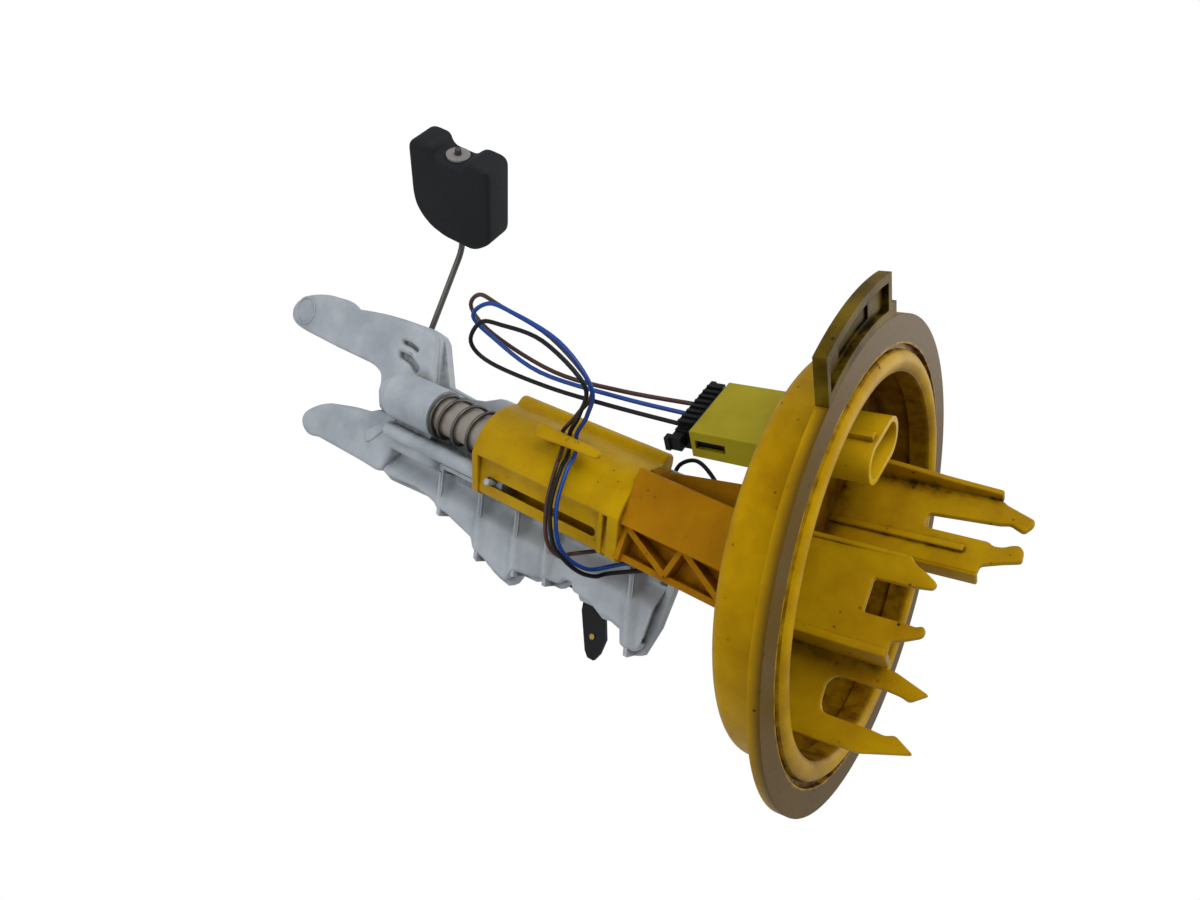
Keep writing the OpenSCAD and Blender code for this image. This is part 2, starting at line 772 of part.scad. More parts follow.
module carrier_plate() {
    length = feet_root - carrier_top;
    side = column_half + 2 * rail_gap;
    face = carrier_y - rib_h;
    color(white)
        in_column()
            difference() {
                union() {
                    translate([0, carrier_y + carrier_t, 0])
                        rotate([90, 0, 0])
                            linear_extrude(carrier_t)
                                carrier_outline(1);
                    translate([0, carrier_y + tiny, 0])
                        rotate([90, 0, 0])
                            linear_extrude(rib_h)
                                intersection() {
                                    carrier_outline(1);
                                    union() {
                                        for (p = rib_shares)
                                            translate([side, -carrier_top - p * length])
                                                rotate(16)
                                                    square([carrier_w / 2, rib_t]);
                                        translate([side, -0.88 * feet_root])
                                            square([rib_t, 0.38 * feet_root]);
                                    }
                                }
                }
                translate([pivot_u, 0, -pivot_l])
                    rotate([-90, 0, 0])
                        cylinder(r = pivot_r + carrier_t, h = beyond);
            }
}

module carrier_yoke() {
    rail_w = channel_w - 2 * rail_gap;
    rail_d = channel_d - 2 * rail_gap;
    boss = 1.35 * rod_r;
    color(white)
        in_column()
            difference() {
                union() {
                    translate([0, 0, -yoke_face - yoke_l]) {
                        cylinder(r1 = boss / 2, r2 = boss, h = yoke_l / 4);
                        translate([0, 0, yoke_l / 4])
                            cylinder(r = boss, h = 3 * yoke_l / 4);
                    }
                    span_box([-0.8 * boss, 0, -yoke_face - yoke_l + boss],
                        [channel_x + rail_w / 2, carrier_y, -yoke_face - carrier_t]);
                    translate([channel_x, rail_w / 2 - rail_d / 2, -yoke_face - 0.75 * yoke_l])
                        cylinder(r = rail_w / 2, h = yoke_face + 0.75 * yoke_l + 3 * stop_r - stop_at);
                    span_box([channel_x - rail_w / 2, rail_w / 2 - rail_d / 2,
                        -yoke_face - 0.75 * yoke_l], [channel_x + rail_w / 2, rail_d / 2,
                        3 * stop_r - stop_at]);
                }
                translate([channel_x, -beyond / 2, -stop_at])
                    rotate([-90, 0, 0])
                        cylinder(r = stop_r, h = beyond / 2 - rail_d / 2 + stop_r);
            }
}

module guide_rod() {
    color(white)
        in_column()
            translate([0, 0, -yoke_face])
                cylinder(r = rod_r, h = yoke_face - rod_end);
}

module upper_foot() {
    length = feet_tip - feet_root;
    color(white)
        in_column()
            translate([0, 0, -feet_root])
                side_plate([for (p = upper_foot_shares) [p[0] * carrier_w, -p[1] * length]],
                    carrier_y + carrier_t - foot_t, carrier_y + carrier_t);
}

module lower_foot() {
    length = feet_tip - feet_root;
    color(white)
        in_column()
            translate([0, 0, -feet_root])
                side_plate([for (p = lower_foot_shares) [p[0] * carrier_w, -p[1] * length]],
                    carrier_y + carrier_t - foot_t, carrier_y + carrier_t);
}

module stop_pin() {
    reach = 0.77 * column_front;
    color(white)
        in_column()
            translate([channel_x, -reach, -stop_at])
                rotate([-90, 0, 0])
                    cylinder(r = stop_r, h = reach - channel_d / 2 + rail_gap + stop_r);
}

// the frame of the level sensor: pivot axis along Z, away from the carrier
module in_sensor() {
    in_column()
        translate([pivot_u, carrier_y + carrier_t, -pivot_l])
            rotate([-90, 0, 0])
                children();
}

module sensor_housing() {
    color(black)
        in_sensor()
            difference() {
                union() {
                    translate([0, -sensor_shift, 0])
                        difference() {
                            post_box(sensor_w, sensor_l, 0, sensor_d);
                            post_box(sensor_w - 2 * sensor_wall, sensor_l - 2 * sensor_wall,
                                sensor_wall, beyond);
                        }
                    cylinder(r = 2 * pivot_r, h = sensor_d);
                }
                translate([0, 0, -beyond / 2])
                    cylinder(r = pivot_r + pivot_gap, h = beyond);
            }
}

module sensor_paddle() {
    root = pivot_u + sensor_w / 2;
    reach = paddle_reach - root;
    color(black)
        in_column()
            translate([root, carrier_y + carrier_t, -1.36 * carrier_top - 1.36 * paddle_w])
                side_plate([for (p = paddle_shares) [p[0] * reach, p[1] * paddle_w]], 0, sensor_wall);
}

module resistor_card() {
    color([0.85, 0.85, 0.8])
        in_sensor()
            difference() {
                translate([0, -sensor_shift, sensor_wall])
                    linear_extrude(card_t)
                        square([sensor_w - 3 * sensor_wall, sensor_l - 3 * sensor_wall],
                            center = true);
                translate([0, 0, -beyond / 2])
                    cylinder(r = 2 * pivot_r, h = beyond);
            }
}

module contact_rivets() {
    color(brass)
        in_column()
            translate([paddle_reach - paddle_w, carrier_y + carrier_t,
                -1.36 * carrier_top - 0.36 * paddle_w])
                rotate([90, 0, 0])
                    cylinder(r = paddle_w / 8, h = paddle_w / 16);
}

module sensor_terminals() {
    color(brass)
        in_sensor()
            for (i = [-1:1])
                translate([i * pin_pitch - sensor_w / 4, -sensor_shift - sensor_l / 2, 0])
                    span_box([-pin_w / 2, -2 * pin_pitch, pin_t], [pin_w / 2, 0, 2 * pin_t]);
}

module float_lever() {
    dir = turn_of(pivot, elbow_in);
    y = float_y - wire_r - lever_t;
    color([0.16, 0.16, 0.17])
        in_column()
            translate([pivot_u, 0, -pivot_l])
                rotate([0, dir, 0])
                    difference() {
                        union() {
                            translate([0, y, 0])
                                rotate([-90, 0, 0])
                                    cylinder(r = hub_r, h = lever_t);
                            span_box([-0.55 * hub_r, y, 0],
                                [0.55 * hub_r, y + lever_t, 3.4 * hub_r]);
                            span_box([-0.55 * hub_r, y, 2 * hub_r],
                                [-wire_r, y + lever_t + 1.6 * wire_r, 3 * hub_r]);
                            span_box([wire_r, y, 2 * hub_r],
                                [0.55 * hub_r, y + lever_t + 1.6 * wire_r, 3 * hub_r]);
                        }
                        translate([0, -beyond / 2, 0])
                            rotate([-90, 0, 0])
                                cylinder(r = pivot_r, h = beyond);
                    }
}

module pivot_pin() {
    low = carrier_y + carrier_t + sensor_wall;
    color(steel)
        in_column()
            translate([pivot_u, low, -pivot_l])
                rotate([-90, 0, 0])
                    cylinder(r = pivot_r, h = float_y - wire_r - low);
}

module wiper_contacts() {
    dir = turn_of(pivot, elbow_in);
    low = carrier_y + carrier_t + sensor_wall + card_t + rail_gap;
    high = float_y - wire_r - lever_t;
    color(brass)
        in_column()
            translate([pivot_u, 0, -pivot_l])
                rotate([0, dir, 0])
                    for (s = [-1, 1])
                        span_box([s * hub_r / 4 - wire_r / 4, low, 0.86 * hub_r],
                            [s * hub_r / 4 + wire_r / 4, high, 0.86 * hub_r + wire_r]);
}

// a round rod between two points of the leaning side view
module rod_between(a, b, r) {
    length = norm([b[0] - a[0], b[1] - a[1]]);
    translate([a[0], float_y, a[1]])
        rotate([0, turn_of(a, b), 0])
            cylinder(r = r, h = length);
}

// the frame of the wire's end, from its last bend: the wire along Z, the float's width along X
module in_float() {
    in_column()
        translate([elbow_out[0], float_y, elbow_out[1]])
            rotate([float_bend, float_turn, 0])
                rotate([0, 0, float_spin])
                    children();
}

module float_wire() {
    root = along_line(pivot, elbow_in, 0.12);
    overrun = bend_share * carrier_w;
    color(steel) {
        in_column() {
            rod_between(root, along_line(root, elbow_in, 1 + bend_share), wire_r);
            rod_between(along_line(elbow_in, elbow_out, -bend_share), along_line(elbow_in,
                elbow_out, 1 + bend_share), wire_r);
        }
        in_float()
            translate([0, 0, -overrun])
                cylinder(r = wire_r, h = overrun + float_off + 0.97 * float_l);
    }
}

module float() {
    color([0.12, 0.13, 0.15])
        in_float()
            translate([0, 0, float_off])
                difference() {
                    translate([0, float_t / 2, 0])
                        rotate([90, 0, 0])
                            linear_extrude(float_t)
                                polygon(scaled(float_shares, float_w, float_l));
                    translate([0, 0, -beyond / 2])
                        cylinder(r = wire_r + float_gap, h = beyond);
                }
}

// a point of the leaning frame, given in the flange frame
function leaning(u, v, w) = [column_x + u * cos(column_tilt) + w * sin(column_tilt), v,
    w * cos(column_tilt) - u * sin(column_tilt)];

// where a wire leaves the plug
function plug_point(i, z) = [plug_x + i * pin_pitch * cos(plug_turn),
    plug_y + i * pin_pitch * sin(plug_turn), z];

// where a wire ends on the sensor's terminal
function sensor_point(i, up) = leaning(pivot_u - sensor_w / 4 + i * pin_pitch,
    carrier_y + carrier_t + 1.5 * pin_t, sensor_shift + sensor_l / 2 + 2 * pin_pitch + up - pivot_l);

// a smooth curve through the control points, at one place along it
function smooth(p, t) =
    let (n = len(p) - 1, i = min(floor(t), n - 1), f = t - i, a = p[max(i - 1, 0)], b = p[i],
        c = p[i + 1], d = p[min(i + 2, n)])
    b + 0.5 * f * ((c - a) + f * ((2 * a - 5 * b + 4 * c - d) + f * (3 * b - a - 3 * c + d)));

function unit(v) = v / norm(v);

// side directions of a swept tube that doesn't twist
function sides_of(dirs, i, last) = i >= len(dirs) ? [] :
    let (now = unit(cross(dirs[i], cross(last, dirs[i]))))
    concat([now], sides_of(dirs, i + 1, now));

// a round tube swept along a route, in a fixed number of rings
module cord(p, r) {
    rings = 26;
    round_n = 8;
    last = rings - 1;
    line = [for (i = [0:last]) smooth(p, i * (len(p) - 1) / last)];
    dirs = [for (i = [0:last]) unit(line[min(i + 1, last)] - line[max(i - 1, 0)])];
    ends = concat([unit(p[1] - p[0])], [for (i = [1:last - 1]) dirs[i]],
        [unit(p[len(p) - 1] - p[len(p) - 2])]);
    side = sides_of(ends, 0, unit(cross(ends[0], [0.3, 1, 0.2])));
    points = [for (i = [0:last], j = [0:round_n - 1])
        let (a = 360 * j / round_n, up = cross(ends[i], side[i]))
        line[i] + r * (cos(a) * side[i] + sin(a) * up)];
    walls = [for (i = [0:last - 1], j = [0:round_n - 1])
        [i * round_n + (j + 1) % round_n, (i + 1) * round_n + (j + 1) % round_n,
            (i + 1) * round_n + j, i * round_n + j]];
    polyhedron(points, concat(walls, [[for (j = [round_n - 1:-1:0]) j],
        [for (j = [0:round_n - 1]) last * round_n + j]]), convexity = 20);
}

// a wire from its hole in the plug, along its route, to its terminal
module wire(route, hole, terminal) {
    scale_now = rim_r / 65;
    cord(concat([plug_point(hole, -socket_end - tiny), plug_point(hole, -socket_end - plug_out
        - 2 * cord_r)], [for (q = route) q * scale_now],
        [sensor_point(terminal, 3 * cord_r), sensor_point(terminal, 0)]), cord_r);
}

module brown_wire() {
    color([0.29, 0.16, 0.11])
        wire(brown_route, -1, 1);
}

module blue_wire() {
    color([0.07, 0.21, 0.5])
        wire(blue_route, 0, 0);
}

module black_wire() {
    color(black)
        wire(black_route, 1, -1);
}

module float_retainer() {
    color(steel)
        in_float()
            translate([0, 0, float_off + 0.89 * float_l + float_gap * 2])
                difference() {
                    cylinder(r = retainer_r, h = retainer_t);
                    translate([0, 0, -retainer_t])
                        cylinder(r = wire_r, h = 3 * retainer_t);
                }
}

flange_cup();
rim_tab();
support_column();
spring_housing();
wire_hook();
harness_socket();
connector_shroud();
line_comb_upper();
line_comb_middle();
line_comb_lower();
connector_terminals();
harness_plug();
plug_latches();
pressure_spring();
carrier_plate();
carrier_yoke();
guide_rod();
upper_foot();
lower_foot();
stop_pin();
sensor_housing();
sensor_paddle();
resistor_card();
contact_rivets();
sensor_terminals();
float_lever();
pivot_pin();
wiper_contacts();
float_wire();
float();
float_retainer();
brown_wire();
blue_wire();
black_wire();
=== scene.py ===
"""Dresses the fuel tank sending unit: finishes, wires, spring, float, camera and light.

Every length is in metres, in the frame that the solids use: Z is the flange axis and points out
of the tank, and the origin is the centre of the rim's front face.
"""
import logging
import math
from dataclasses import dataclass, field
from enum import Enum

import bmesh
import bpy
from mathutils import Matrix, Vector

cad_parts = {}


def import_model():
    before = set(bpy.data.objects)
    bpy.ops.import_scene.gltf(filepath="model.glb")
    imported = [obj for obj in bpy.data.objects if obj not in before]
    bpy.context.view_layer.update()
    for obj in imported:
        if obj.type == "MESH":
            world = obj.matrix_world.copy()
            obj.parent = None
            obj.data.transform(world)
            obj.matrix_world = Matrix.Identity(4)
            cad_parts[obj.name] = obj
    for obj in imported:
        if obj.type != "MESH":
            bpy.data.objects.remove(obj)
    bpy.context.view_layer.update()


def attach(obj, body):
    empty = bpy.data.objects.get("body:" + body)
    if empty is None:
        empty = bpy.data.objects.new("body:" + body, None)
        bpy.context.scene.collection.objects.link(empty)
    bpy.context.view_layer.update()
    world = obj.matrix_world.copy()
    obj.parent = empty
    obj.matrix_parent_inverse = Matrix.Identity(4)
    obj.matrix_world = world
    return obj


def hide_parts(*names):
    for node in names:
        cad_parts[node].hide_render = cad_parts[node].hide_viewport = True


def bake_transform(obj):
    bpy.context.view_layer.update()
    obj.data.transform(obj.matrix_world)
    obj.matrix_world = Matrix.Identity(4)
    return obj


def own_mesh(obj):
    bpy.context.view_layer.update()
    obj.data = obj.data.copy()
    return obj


LOG = logging.getLogger("sending_unit")
MM = 0.001
Colour = tuple[float, float, float, float]
Point = tuple[float, float, float]


def srgb(code: str) -> Colour:
    """Turns a display colour into the linear colour that shaders take.

    Args:
        code: six hexadecimal digits, with or without a leading hash.

    Returns:
        The linear red, green and blue values with full alpha.
    """
    digits = code.lstrip("#")
    values = [int(digits[i:i + 2], 16) / 255 for i in (0, 2, 4)]
    linear = [v / 12.92 if v <= 0.04045 else ((v + 0.055) / 1.055) ** 2.4 for v in values]
    return (linear[0], linear[1], linear[2], 1.0)


class Grain(Enum):
    """The small surface structure that a finish has."""

    MOULDED = "moulded"
    BRUSHED = "brushed"
    FOAM = "foam"


@dataclass(frozen=True)
class Finish:
    """A procedural surface whose patterns are scaled from real millimetres."""

    name: str
    base: str
    shade: str
    grime_and_shade: str
    rough: float = 0.4
    metal: float = 0.0
    glow: float = 0.0
    grime_and_shade_share: float = 0.5
    speck: float = 0.0
    grain: Grain = Grain.MOULDED
    bump: float = 0.15
    edge: float = 0.4
    worn: str = ""
    worn_from: float = 57.4
    stain_and_shade: str = ""
    stain_and_shade_within: float = 53.4
    shine: float = 0.4
    sheen: str = "ffffff"

    def add(self, tree: bpy.types.NodeTree, kind: str, **values: object) -> bpy.types.Node:
        """Adds one shader node and sets its properties or its inputs.

        Args:
            tree: the node tree to add to.
            kind: the node's type name.
            values: properties by name, or inputs as in_NAME or in_NUMBER. A socket is linked.

        Returns:
            The new node.
        """
        node = tree.nodes.new(kind)
        for key, value in values.items():
            if not key.startswith("in_"):
                setattr(node, key, value)
                continue
            name = key[3:]
            socket = node.inputs[int(name) if name.isdigit() else name.replace("_", " ")]
            if isinstance(value, bpy.types.NodeSocket):
                tree.links.new(value, socket)
            else:
                socket.default_value = value
        return node

    def noise(self, tree: bpy.types.NodeTree, place: bpy.types.NodeSocket, size_mm: float,
              detail: float = 4.0) -> bpy.types.NodeSocket:
        """Makes a noise whose blotches are about size_mm across.

        Args:
            tree: the node tree to add to.
            place: the coordinates in metres.
            size_mm: the size of a blotch.
            detail: the octaves of the noise.

        Returns:
            The noise's value socket.
        """
        node = self.add(tree, "ShaderNodeTexNoise", in_Vector=place, in_Scale=1 / (size_mm * MM),
                        in_Detail=detail, in_Roughness=0.6)
        return node.outputs["Fac"]

    def ramp(self, tree: bpy.types.NodeTree, value: bpy.types.NodeSocket, low: float,
             high: float) -> bpy.types.NodeSocket:
        """Stretches a value so that low becomes 0 and high becomes 1.

        Args:
            tree: the node tree to add to.
            value: the socket to stretch.
            low: the value that becomes 0.
            high: the value that becomes 1.

        Returns:
            The stretched socket, held between 0 and 1.
        """
        node = self.add(tree, "ShaderNodeMapRange", in_Value=value, in_From_Min=low,
                        in_From_Max=high)
        return node.outputs[0]

    def math(self, tree: bpy.types.NodeTree, kind: str, a: object, b: object) \
            -> bpy.types.NodeSocket:
        """Joins two values by one sum.

        Args:
            tree: the node tree to add to.
            kind: the operation, such as MULTIPLY.
            a: the first number or socket.
            b: the second number or socket.

        Returns:
            The result's socket.
        """
        return self.add(tree, "ShaderNodeMath", operation=kind, in_0=a, in_1=b).outputs[0]

    def mix(self, tree: bpy.types.NodeTree, share: object, a: object, b: object) \
            -> bpy.types.NodeSocket:
        """Mixes two colours.

        Args:
            tree: the node tree to add to.
            share: how much of the second colour shows.
            a: the first colour or socket.
            b: the second colour or socket.

        Returns:
            The mixed colour's socket.
        """
        node = self.add(tree, "ShaderNodeMix", data_type="RGBA", in_0=share, in_6=a, in_7=b)
        return node.outputs[2]

    def regions(self, tree: bpy.types.NodeTree, place: bpy.types.NodeSocket,
                colour: bpy.types.NodeSocket, blotch: bpy.types.NodeSocket) \
            -> bpy.types.NodeSocket:
        """Tints the worn outer face of a ring, and darkens the inside of a cup with a tint that is
        part stain, part painted shade.

        Args:
            tree: the node tree to add to.
            place: the coordinates in metres.
            colour: the colour so far.
            blotch: a noise between 0 and 1 that breaks the tints up.

        Returns:
            The tinted colour's socket.
        """
        flat = self.add(tree, "ShaderNodeVectorMath", operation="MULTIPLY", in_0=place,
                        in_1=(1.0, 1.0, 0.0)).outputs[0]
        radius = self.add(tree, "ShaderNodeVectorMath", operation="LENGTH",
                          in_0=flat).outputs["Value"]
        height = self.add(tree, "ShaderNodeSeparateXYZ", in_0=place).outputs["Z"]
        rough = self.math(tree, "MULTIPLY", self.math(tree, "SUBTRACT", blotch, 0.5), 0.6 * MM)
        radius = self.math(tree, "ADD", radius, rough)
        if self.worn:
            outside = self.ramp(tree, radius, self.worn_from * MM, (self.worn_from + 0.7) * MM)
            front = self.ramp(tree, height, -3.4 * MM, -0.4 * MM)
            share = self.math(tree, "MULTIPLY", outside, front)
            colour = self.mix(tree, share, colour, srgb(self.worn))
        # The cup's inside wall below the rim turns red-brown, broken up by noise: part stain, part
        # painted shade.
        if self.stain_and_shade:
            inside = self.ramp(tree, radius, (self.stain_and_shade_within + 1.2) * MM,
                               self.stain_and_shade_within * MM)
            below = self.ramp(tree, height, 0.8 * MM, -1.2 * MM)
            share = self.math(tree, "MULTIPLY", self.math(tree, "MULTIPLY", inside, below),
                              self.math(tree, "ADD", self.math(tree, "MULTIPLY", blotch, 0.3),
                                        0.6))
            colour = self.mix(tree, share, colour, srgb(self.stain_and_shade))
        return colour

    def build(self) -> bpy.types.Material:
        """Builds the material.

        Returns:
            The new material.
        """
        material = bpy.data.materials.new(self.name)
        material.use_nodes = True
        tree = material.node_tree
        tree.nodes.clear()
        place = self.add(tree, "ShaderNodeTexCoord").outputs["Object"]
        wide = self.noise(tree, place, 18)
        fine = self.noise(tree, place, 1.6, 6.0)
        colour = self.mix(tree, self.ramp(tree, wide, 0.35, 0.7), srgb(self.base),
                          srgb(self.shade))
        # Ambient occlusion darkens creases, recesses and joints towards the grime colour: painted
        # crevice shade mixed with real grime, broken up by noise.
        corner = self.add(tree, "ShaderNodeAmbientOcclusion", samples=8, in_Distance=5 * MM)
        open_share = self.ramp(tree, corner.outputs["AO"], 0.35, 0.95)
        crevice_grime_and_shade = self.math(tree, "SUBTRACT", 1.0, open_share)
        blotch = self.ramp(tree, self.noise(tree, place, 4.5, 5.0), 0.42, 0.68)
        if self.worn or self.stain_and_shade:
            colour = self.regions(tree, place, colour, blotch)
        crevice_grime_and_shade = self.math(tree, "MULTIPLY", crevice_grime_and_shade, self.math(tree, "ADD", blotch, 0.35))
        crevice_grime_and_shade = self.math(tree, "MINIMUM", self.math(tree, "MULTIPLY", crevice_grime_and_shade, self.grime_and_shade_share), 1.0)
        colour = self.mix(tree, crevice_grime_and_shade, colour, srgb(self.grime_and_shade))
        if self.speck > 0:
            dots = self.add(tree, "ShaderNodeTexVoronoi", in_Vector=place,
                            in_Scale=1 / (3.2 * MM), in_Randomness=1.0)
            near = self.ramp(tree, dots.outputs["Distance"], 0.16, 0.08)
            patch = self.ramp(tree, self.noise(tree, place, 9, 2.0), 0.52, 0.62)
            dots_share = self.math(tree, "MULTIPLY", self.math(tree, "MULTIPLY", near, patch),
                                   self.speck)
            colour = self.mix(tree, dots_share, colour, srgb("1d150a"))
        rough = self.math(tree, "ADD", self.rough - 0.08,
                          self.math(tree, "MULTIPLY", fine, 0.16))
        grain = self.noise(tree, place, 0.5 if self.grain is not Grain.FOAM else 0.9, 3.0)
        if self.grain is Grain.BRUSHED:
            stretched = self.add(tree, "ShaderNodeMapping", in_Vector=place,
                                 in_Scale=(1.0, 1.0, 0.08)).outputs[0]
            grain = self.noise(tree, stretched, 0.25, 2.0)
        soft = self.add(tree, "ShaderNodeBevel", samples=4, in_Radius=self.edge * MM)
        bump = self.add(tree, "ShaderNodeBump", in_Height=grain, in_Strength=self.bump,
                        in_Distance=0.2 * MM, in_Normal=soft.outputs[0])
        shader = self.add(tree, "ShaderNodeBsdfPrincipled", in_Base_Color=colour,
                          in_Roughness=rough, in_Metallic=self.metal,
                          in_Specular_IOR_Level=self.shine,
                          in_Specular_Tint=srgb(self.sheen),
                          in_Normal=bump.outputs[0])
        if self.glow > 0:
            shader.inputs["Subsurface Weight"].default_value = self.glow
            shader.inputs["Subsurface Radius"].default_value = (1.0, 0.6, 0.25)
            shader.inputs["Subsurface Scale"].default_value = 2 * MM
        self.add(tree, "ShaderNodeOutputMaterial", in_Surface=shader.outputs[0])
        return material


@dataclass
class Finishes:
    """Builds each finish once and hands it out."""

    made: dict[str, bpy.types.Material] = field(default_factory=dict)

    def get(self, finish: Finish) -> bpy.types.Material:
        """Returns the material of a finish, built at its first use.

        Args:
            finish: the finish.

        Returns:
            The material.
        """
        if finish.name not in self.made:
            self.made[finish.name] = finish.build()
        return self.made[finish.name]


# Each finish's third colour and its share give the crevice darkening: painted shade together with
# grime.
# The flange's stain colour darkens the cup's inside wall below the rim: part stain, part painted
# shade.
FLANGE = Finish("flange_yellow", "be9406", "9e7407", "4a2207", rough=0.42, glow=0.1,
                grime_and_shade_share=1.1, speck=0.9, worn="5e4614", stain_and_shade="482005",
                stain_and_shade_within=52.2, sheen="e0a820", shine=0.14)
# The tab's strong crevice darkening fills its pocket with painted shade as well as grime.
RIM = Finish("tab_worn", "766010", "3e2e06", "140c02", rough=0.5, glow=0.05, grime_and_shade_share=1.6,
             speck=1.0, sheen="b08830", shine=0.12)
COLUMN = Finish("column_yellow", "bf9706", "a67e07", "5a3206", rough=0.36, glow=0.18,
                grime_and_shade_share=0.8, speck=0.5, sheen="f0c030")
SOCKET = Finish("socket_yellow", "9c8e18", "8a7a0e", "3d300e", rough=0.4, glow=0.1,
                grime_and_shade_share=0.7, sheen="f0c030", shine=0.3)
COMB = Finish("comb_yellow", "b08a08", "946a0a", "44280a", rough=0.42, glow=0.12,
              grime_and_shade_share=1.2, speck=1.0, sheen="f0c030")
SUPPORT = Finish("support_amber", "a87206", "8e5c06", "6a3c06", rough=0.38, glow=0.3,
                 grime_and_shade_share=0.6, speck=0.5, sheen="f0b030")
SHROUD = Finish("shroud_yellow", "d2aa12", "bb8c0f", "4a300a", rough=0.4, glow=0.15,
                grime_and_shade_share=1.0, speck=0.6, sheen="f0c030")
CARRIER = Finish("carrier_white", "b4b9bc", "969ca1", "57554e", rough=0.42, glow=0.3,
                 grime_and_shade_share=0.7)
BLACK = Finish("black_moulding", "060607", "0a0b0c", "1c1915", rough=0.42, grime_and_shade_share=0.3,
               shine=0.2)
STEEL = Finish("spring_steel", "77726b", "5d5851", "3a332b", rough=0.35, metal=0.9,
               grain=Grain.BRUSHED, shine=0.5)
BRASS = Finish("brass", "a98a4c", "8d6f38", "4b3920", rough=0.38, metal=0.9,
               grain=Grain.BRUSHED, shine=0.5)
CARD = Finish("card_ceramic", "c9c8bd", "b5b4aa", "6d6a60", rough=0.6)
ROD = Finish("rod_worn", "a59c90", "8f8679", "4d463c", rough=0.4, glow=0.15, grime_and_shade_share=0.8)
DISC = Finish("retainer_grey", "8d8a84", "77746e", "3a3835", rough=0.45, grime_and_shade_share=0.6)
ARM = Finish("arm_steel", "6e6a64", "56524c", "35312b", rough=0.42, metal=0.85,
             grain=Grain.BRUSHED, edge=0.1, shine=0.5)
FLOAT = Finish("float_foam", "0d0f12", "08090b", "17181b", rough=0.75, grime_and_shade_share=0.2,
               grain=Grain.FOAM, bump=0.5, edge=1.2)
BROWN = Finish("brown_insulation", "4a2b1e", "3b2118", "2a1d16", rough=0.4, edge=0.1)
BLUE = Finish("blue_insulation", "0a4398", "083880", "0c1f3c", rough=0.38, edge=0.1)
INK = Finish("black_insulation", "0c0e10", "090a0c", "1a1a1a", rough=0.45, edge=0.1, shine=0.25)

NODE_FINISH: dict[str, Finish] = {
    "flange_cup": FLANGE, "rim_tab": RIM, "support_column": SUPPORT, "spring_housing": COLUMN,
    "wire_hook": COLUMN, "harness_socket": SOCKET, "connector_shroud": SHROUD,
    "line_comb_upper": COMB, "line_comb_middle": COMB, "line_comb_lower": COMB,
    "connector_terminals": BRASS, "harness_plug": BLACK, "plug_latches": BLACK,
    "pressure_spring": STEEL, "brown_wire": BROWN, "blue_wire": BLUE, "black_wire": INK,
    "carrier_plate": CARRIER, "carrier_yoke": CARRIER, "guide_rod": ROD,
    "upper_foot": CARRIER, "lower_foot": CARRIER, "stop_pin": CARRIER,
    "sensor_housing": BLACK, "sensor_paddle": BLACK, "resistor_card": CARD,
    "contact_rivets": BRASS, "sensor_terminals": BRASS, "float_lever": BLACK,
    "pivot_pin": STEEL, "wiper_contacts": BRASS, "float_wire": STEEL,
    "float_retainer": DISC, "float": FLOAT,
}


@dataclass
class Studio:
    """The camera, the lights and the white surroundings."""

    eye: Point = (-0.0232, -0.2346, 0.0621)
    right: Point = (-0.198, 0.533, 0.823)
    up: Point = (-0.980, -0.080, -0.184)
    lens: float = 26.96
    sensor: float = 36.0

    def camera(self) -> None:
        """Places the camera where the photograph was taken from."""
        data = bpy.data.cameras.new("camera")
        data.lens = self.lens
        data.sensor_width = self.sensor
        data.clip_start = 0.005
        data.clip_end = 10.0
        item = bpy.data.objects.new("camera", data)
        right = Vector(self.right).normalized()
        up = Vector(self.up)
        up = (up - right * up.dot(right)).normalized()
        back = right.cross(up)
        turn = Matrix((right, up, back)).transposed().to_4x4()
        item.matrix_world = Matrix.Translation(Vector(self.eye)) @ turn
        bpy.context.scene.collection.objects.link(item)
        bpy.context.scene.camera = item

    def light(self, name: str, place: Point, size: float, power: float) -> None:
        """Adds one area light that faces the part.

        Args:
            name: the light's name.
            place: where it stands, in metres.
            size: the side of its square.
            power: its power in watts.
        """
        data = bpy.data.lights.new(name, "AREA")
        data.size = size
        data.energy = power
        item = bpy.data.objects.new(name, data)
        item.location = place
        aim = Vector((0, 0, -0.08)) - Vector(place)
        item.rotation_euler = aim.to_track_quat("-Z", "Y").to_euler()
        bpy.context.scene.collection.objects.link(item)

    def surroundings(self) -> None:
        """Makes the camera see white while the part is lit by a softer grey."""
        world = bpy.data.worlds.new("studio")
        world.use_nodes = True
        tree = world.node_tree
        tree.nodes.clear()
        path = tree.nodes.new("ShaderNodeLightPath")
        lit = tree.nodes.new("ShaderNodeBackground")
        lit.inputs["Color"].default_value = srgb("e8edf5")
        lit.inputs["Strength"].default_value = 0.6
        seen = tree.nodes.new("ShaderNodeBackground")
        seen.inputs["Color"].default_value = (1, 1, 1, 1)
        seen.inputs["Strength"].default_value = 1.0
        both = tree.nodes.new("ShaderNodeMixShader")
        out = tree.nodes.new("ShaderNodeOutputWorld")
        tree.links.new(path.outputs["Is Camera Ray"], both.inputs[0])
        tree.links.new(lit.outputs[0], both.inputs[1])
        tree.links.new(seen.outputs[0], both.inputs[2])
        tree.links.new(both.outputs[0], out.inputs[0])
        bpy.context.scene.world = world

    def build(self) -> None:
        """Builds the whole studio."""
        self.camera()
        self.surroundings()
        self.light("key", (-0.55, -0.45, 0.35), 0.5, 3.4)
        self.light("fill", (0.1, -0.75, -0.25), 0.7, 1.6)
        self.light("rim", (-0.3, 0.55, 0.4), 0.5, 1.6)
        bpy.context.scene.view_settings.view_transform = "Standard"
        LOG.info("studio built")


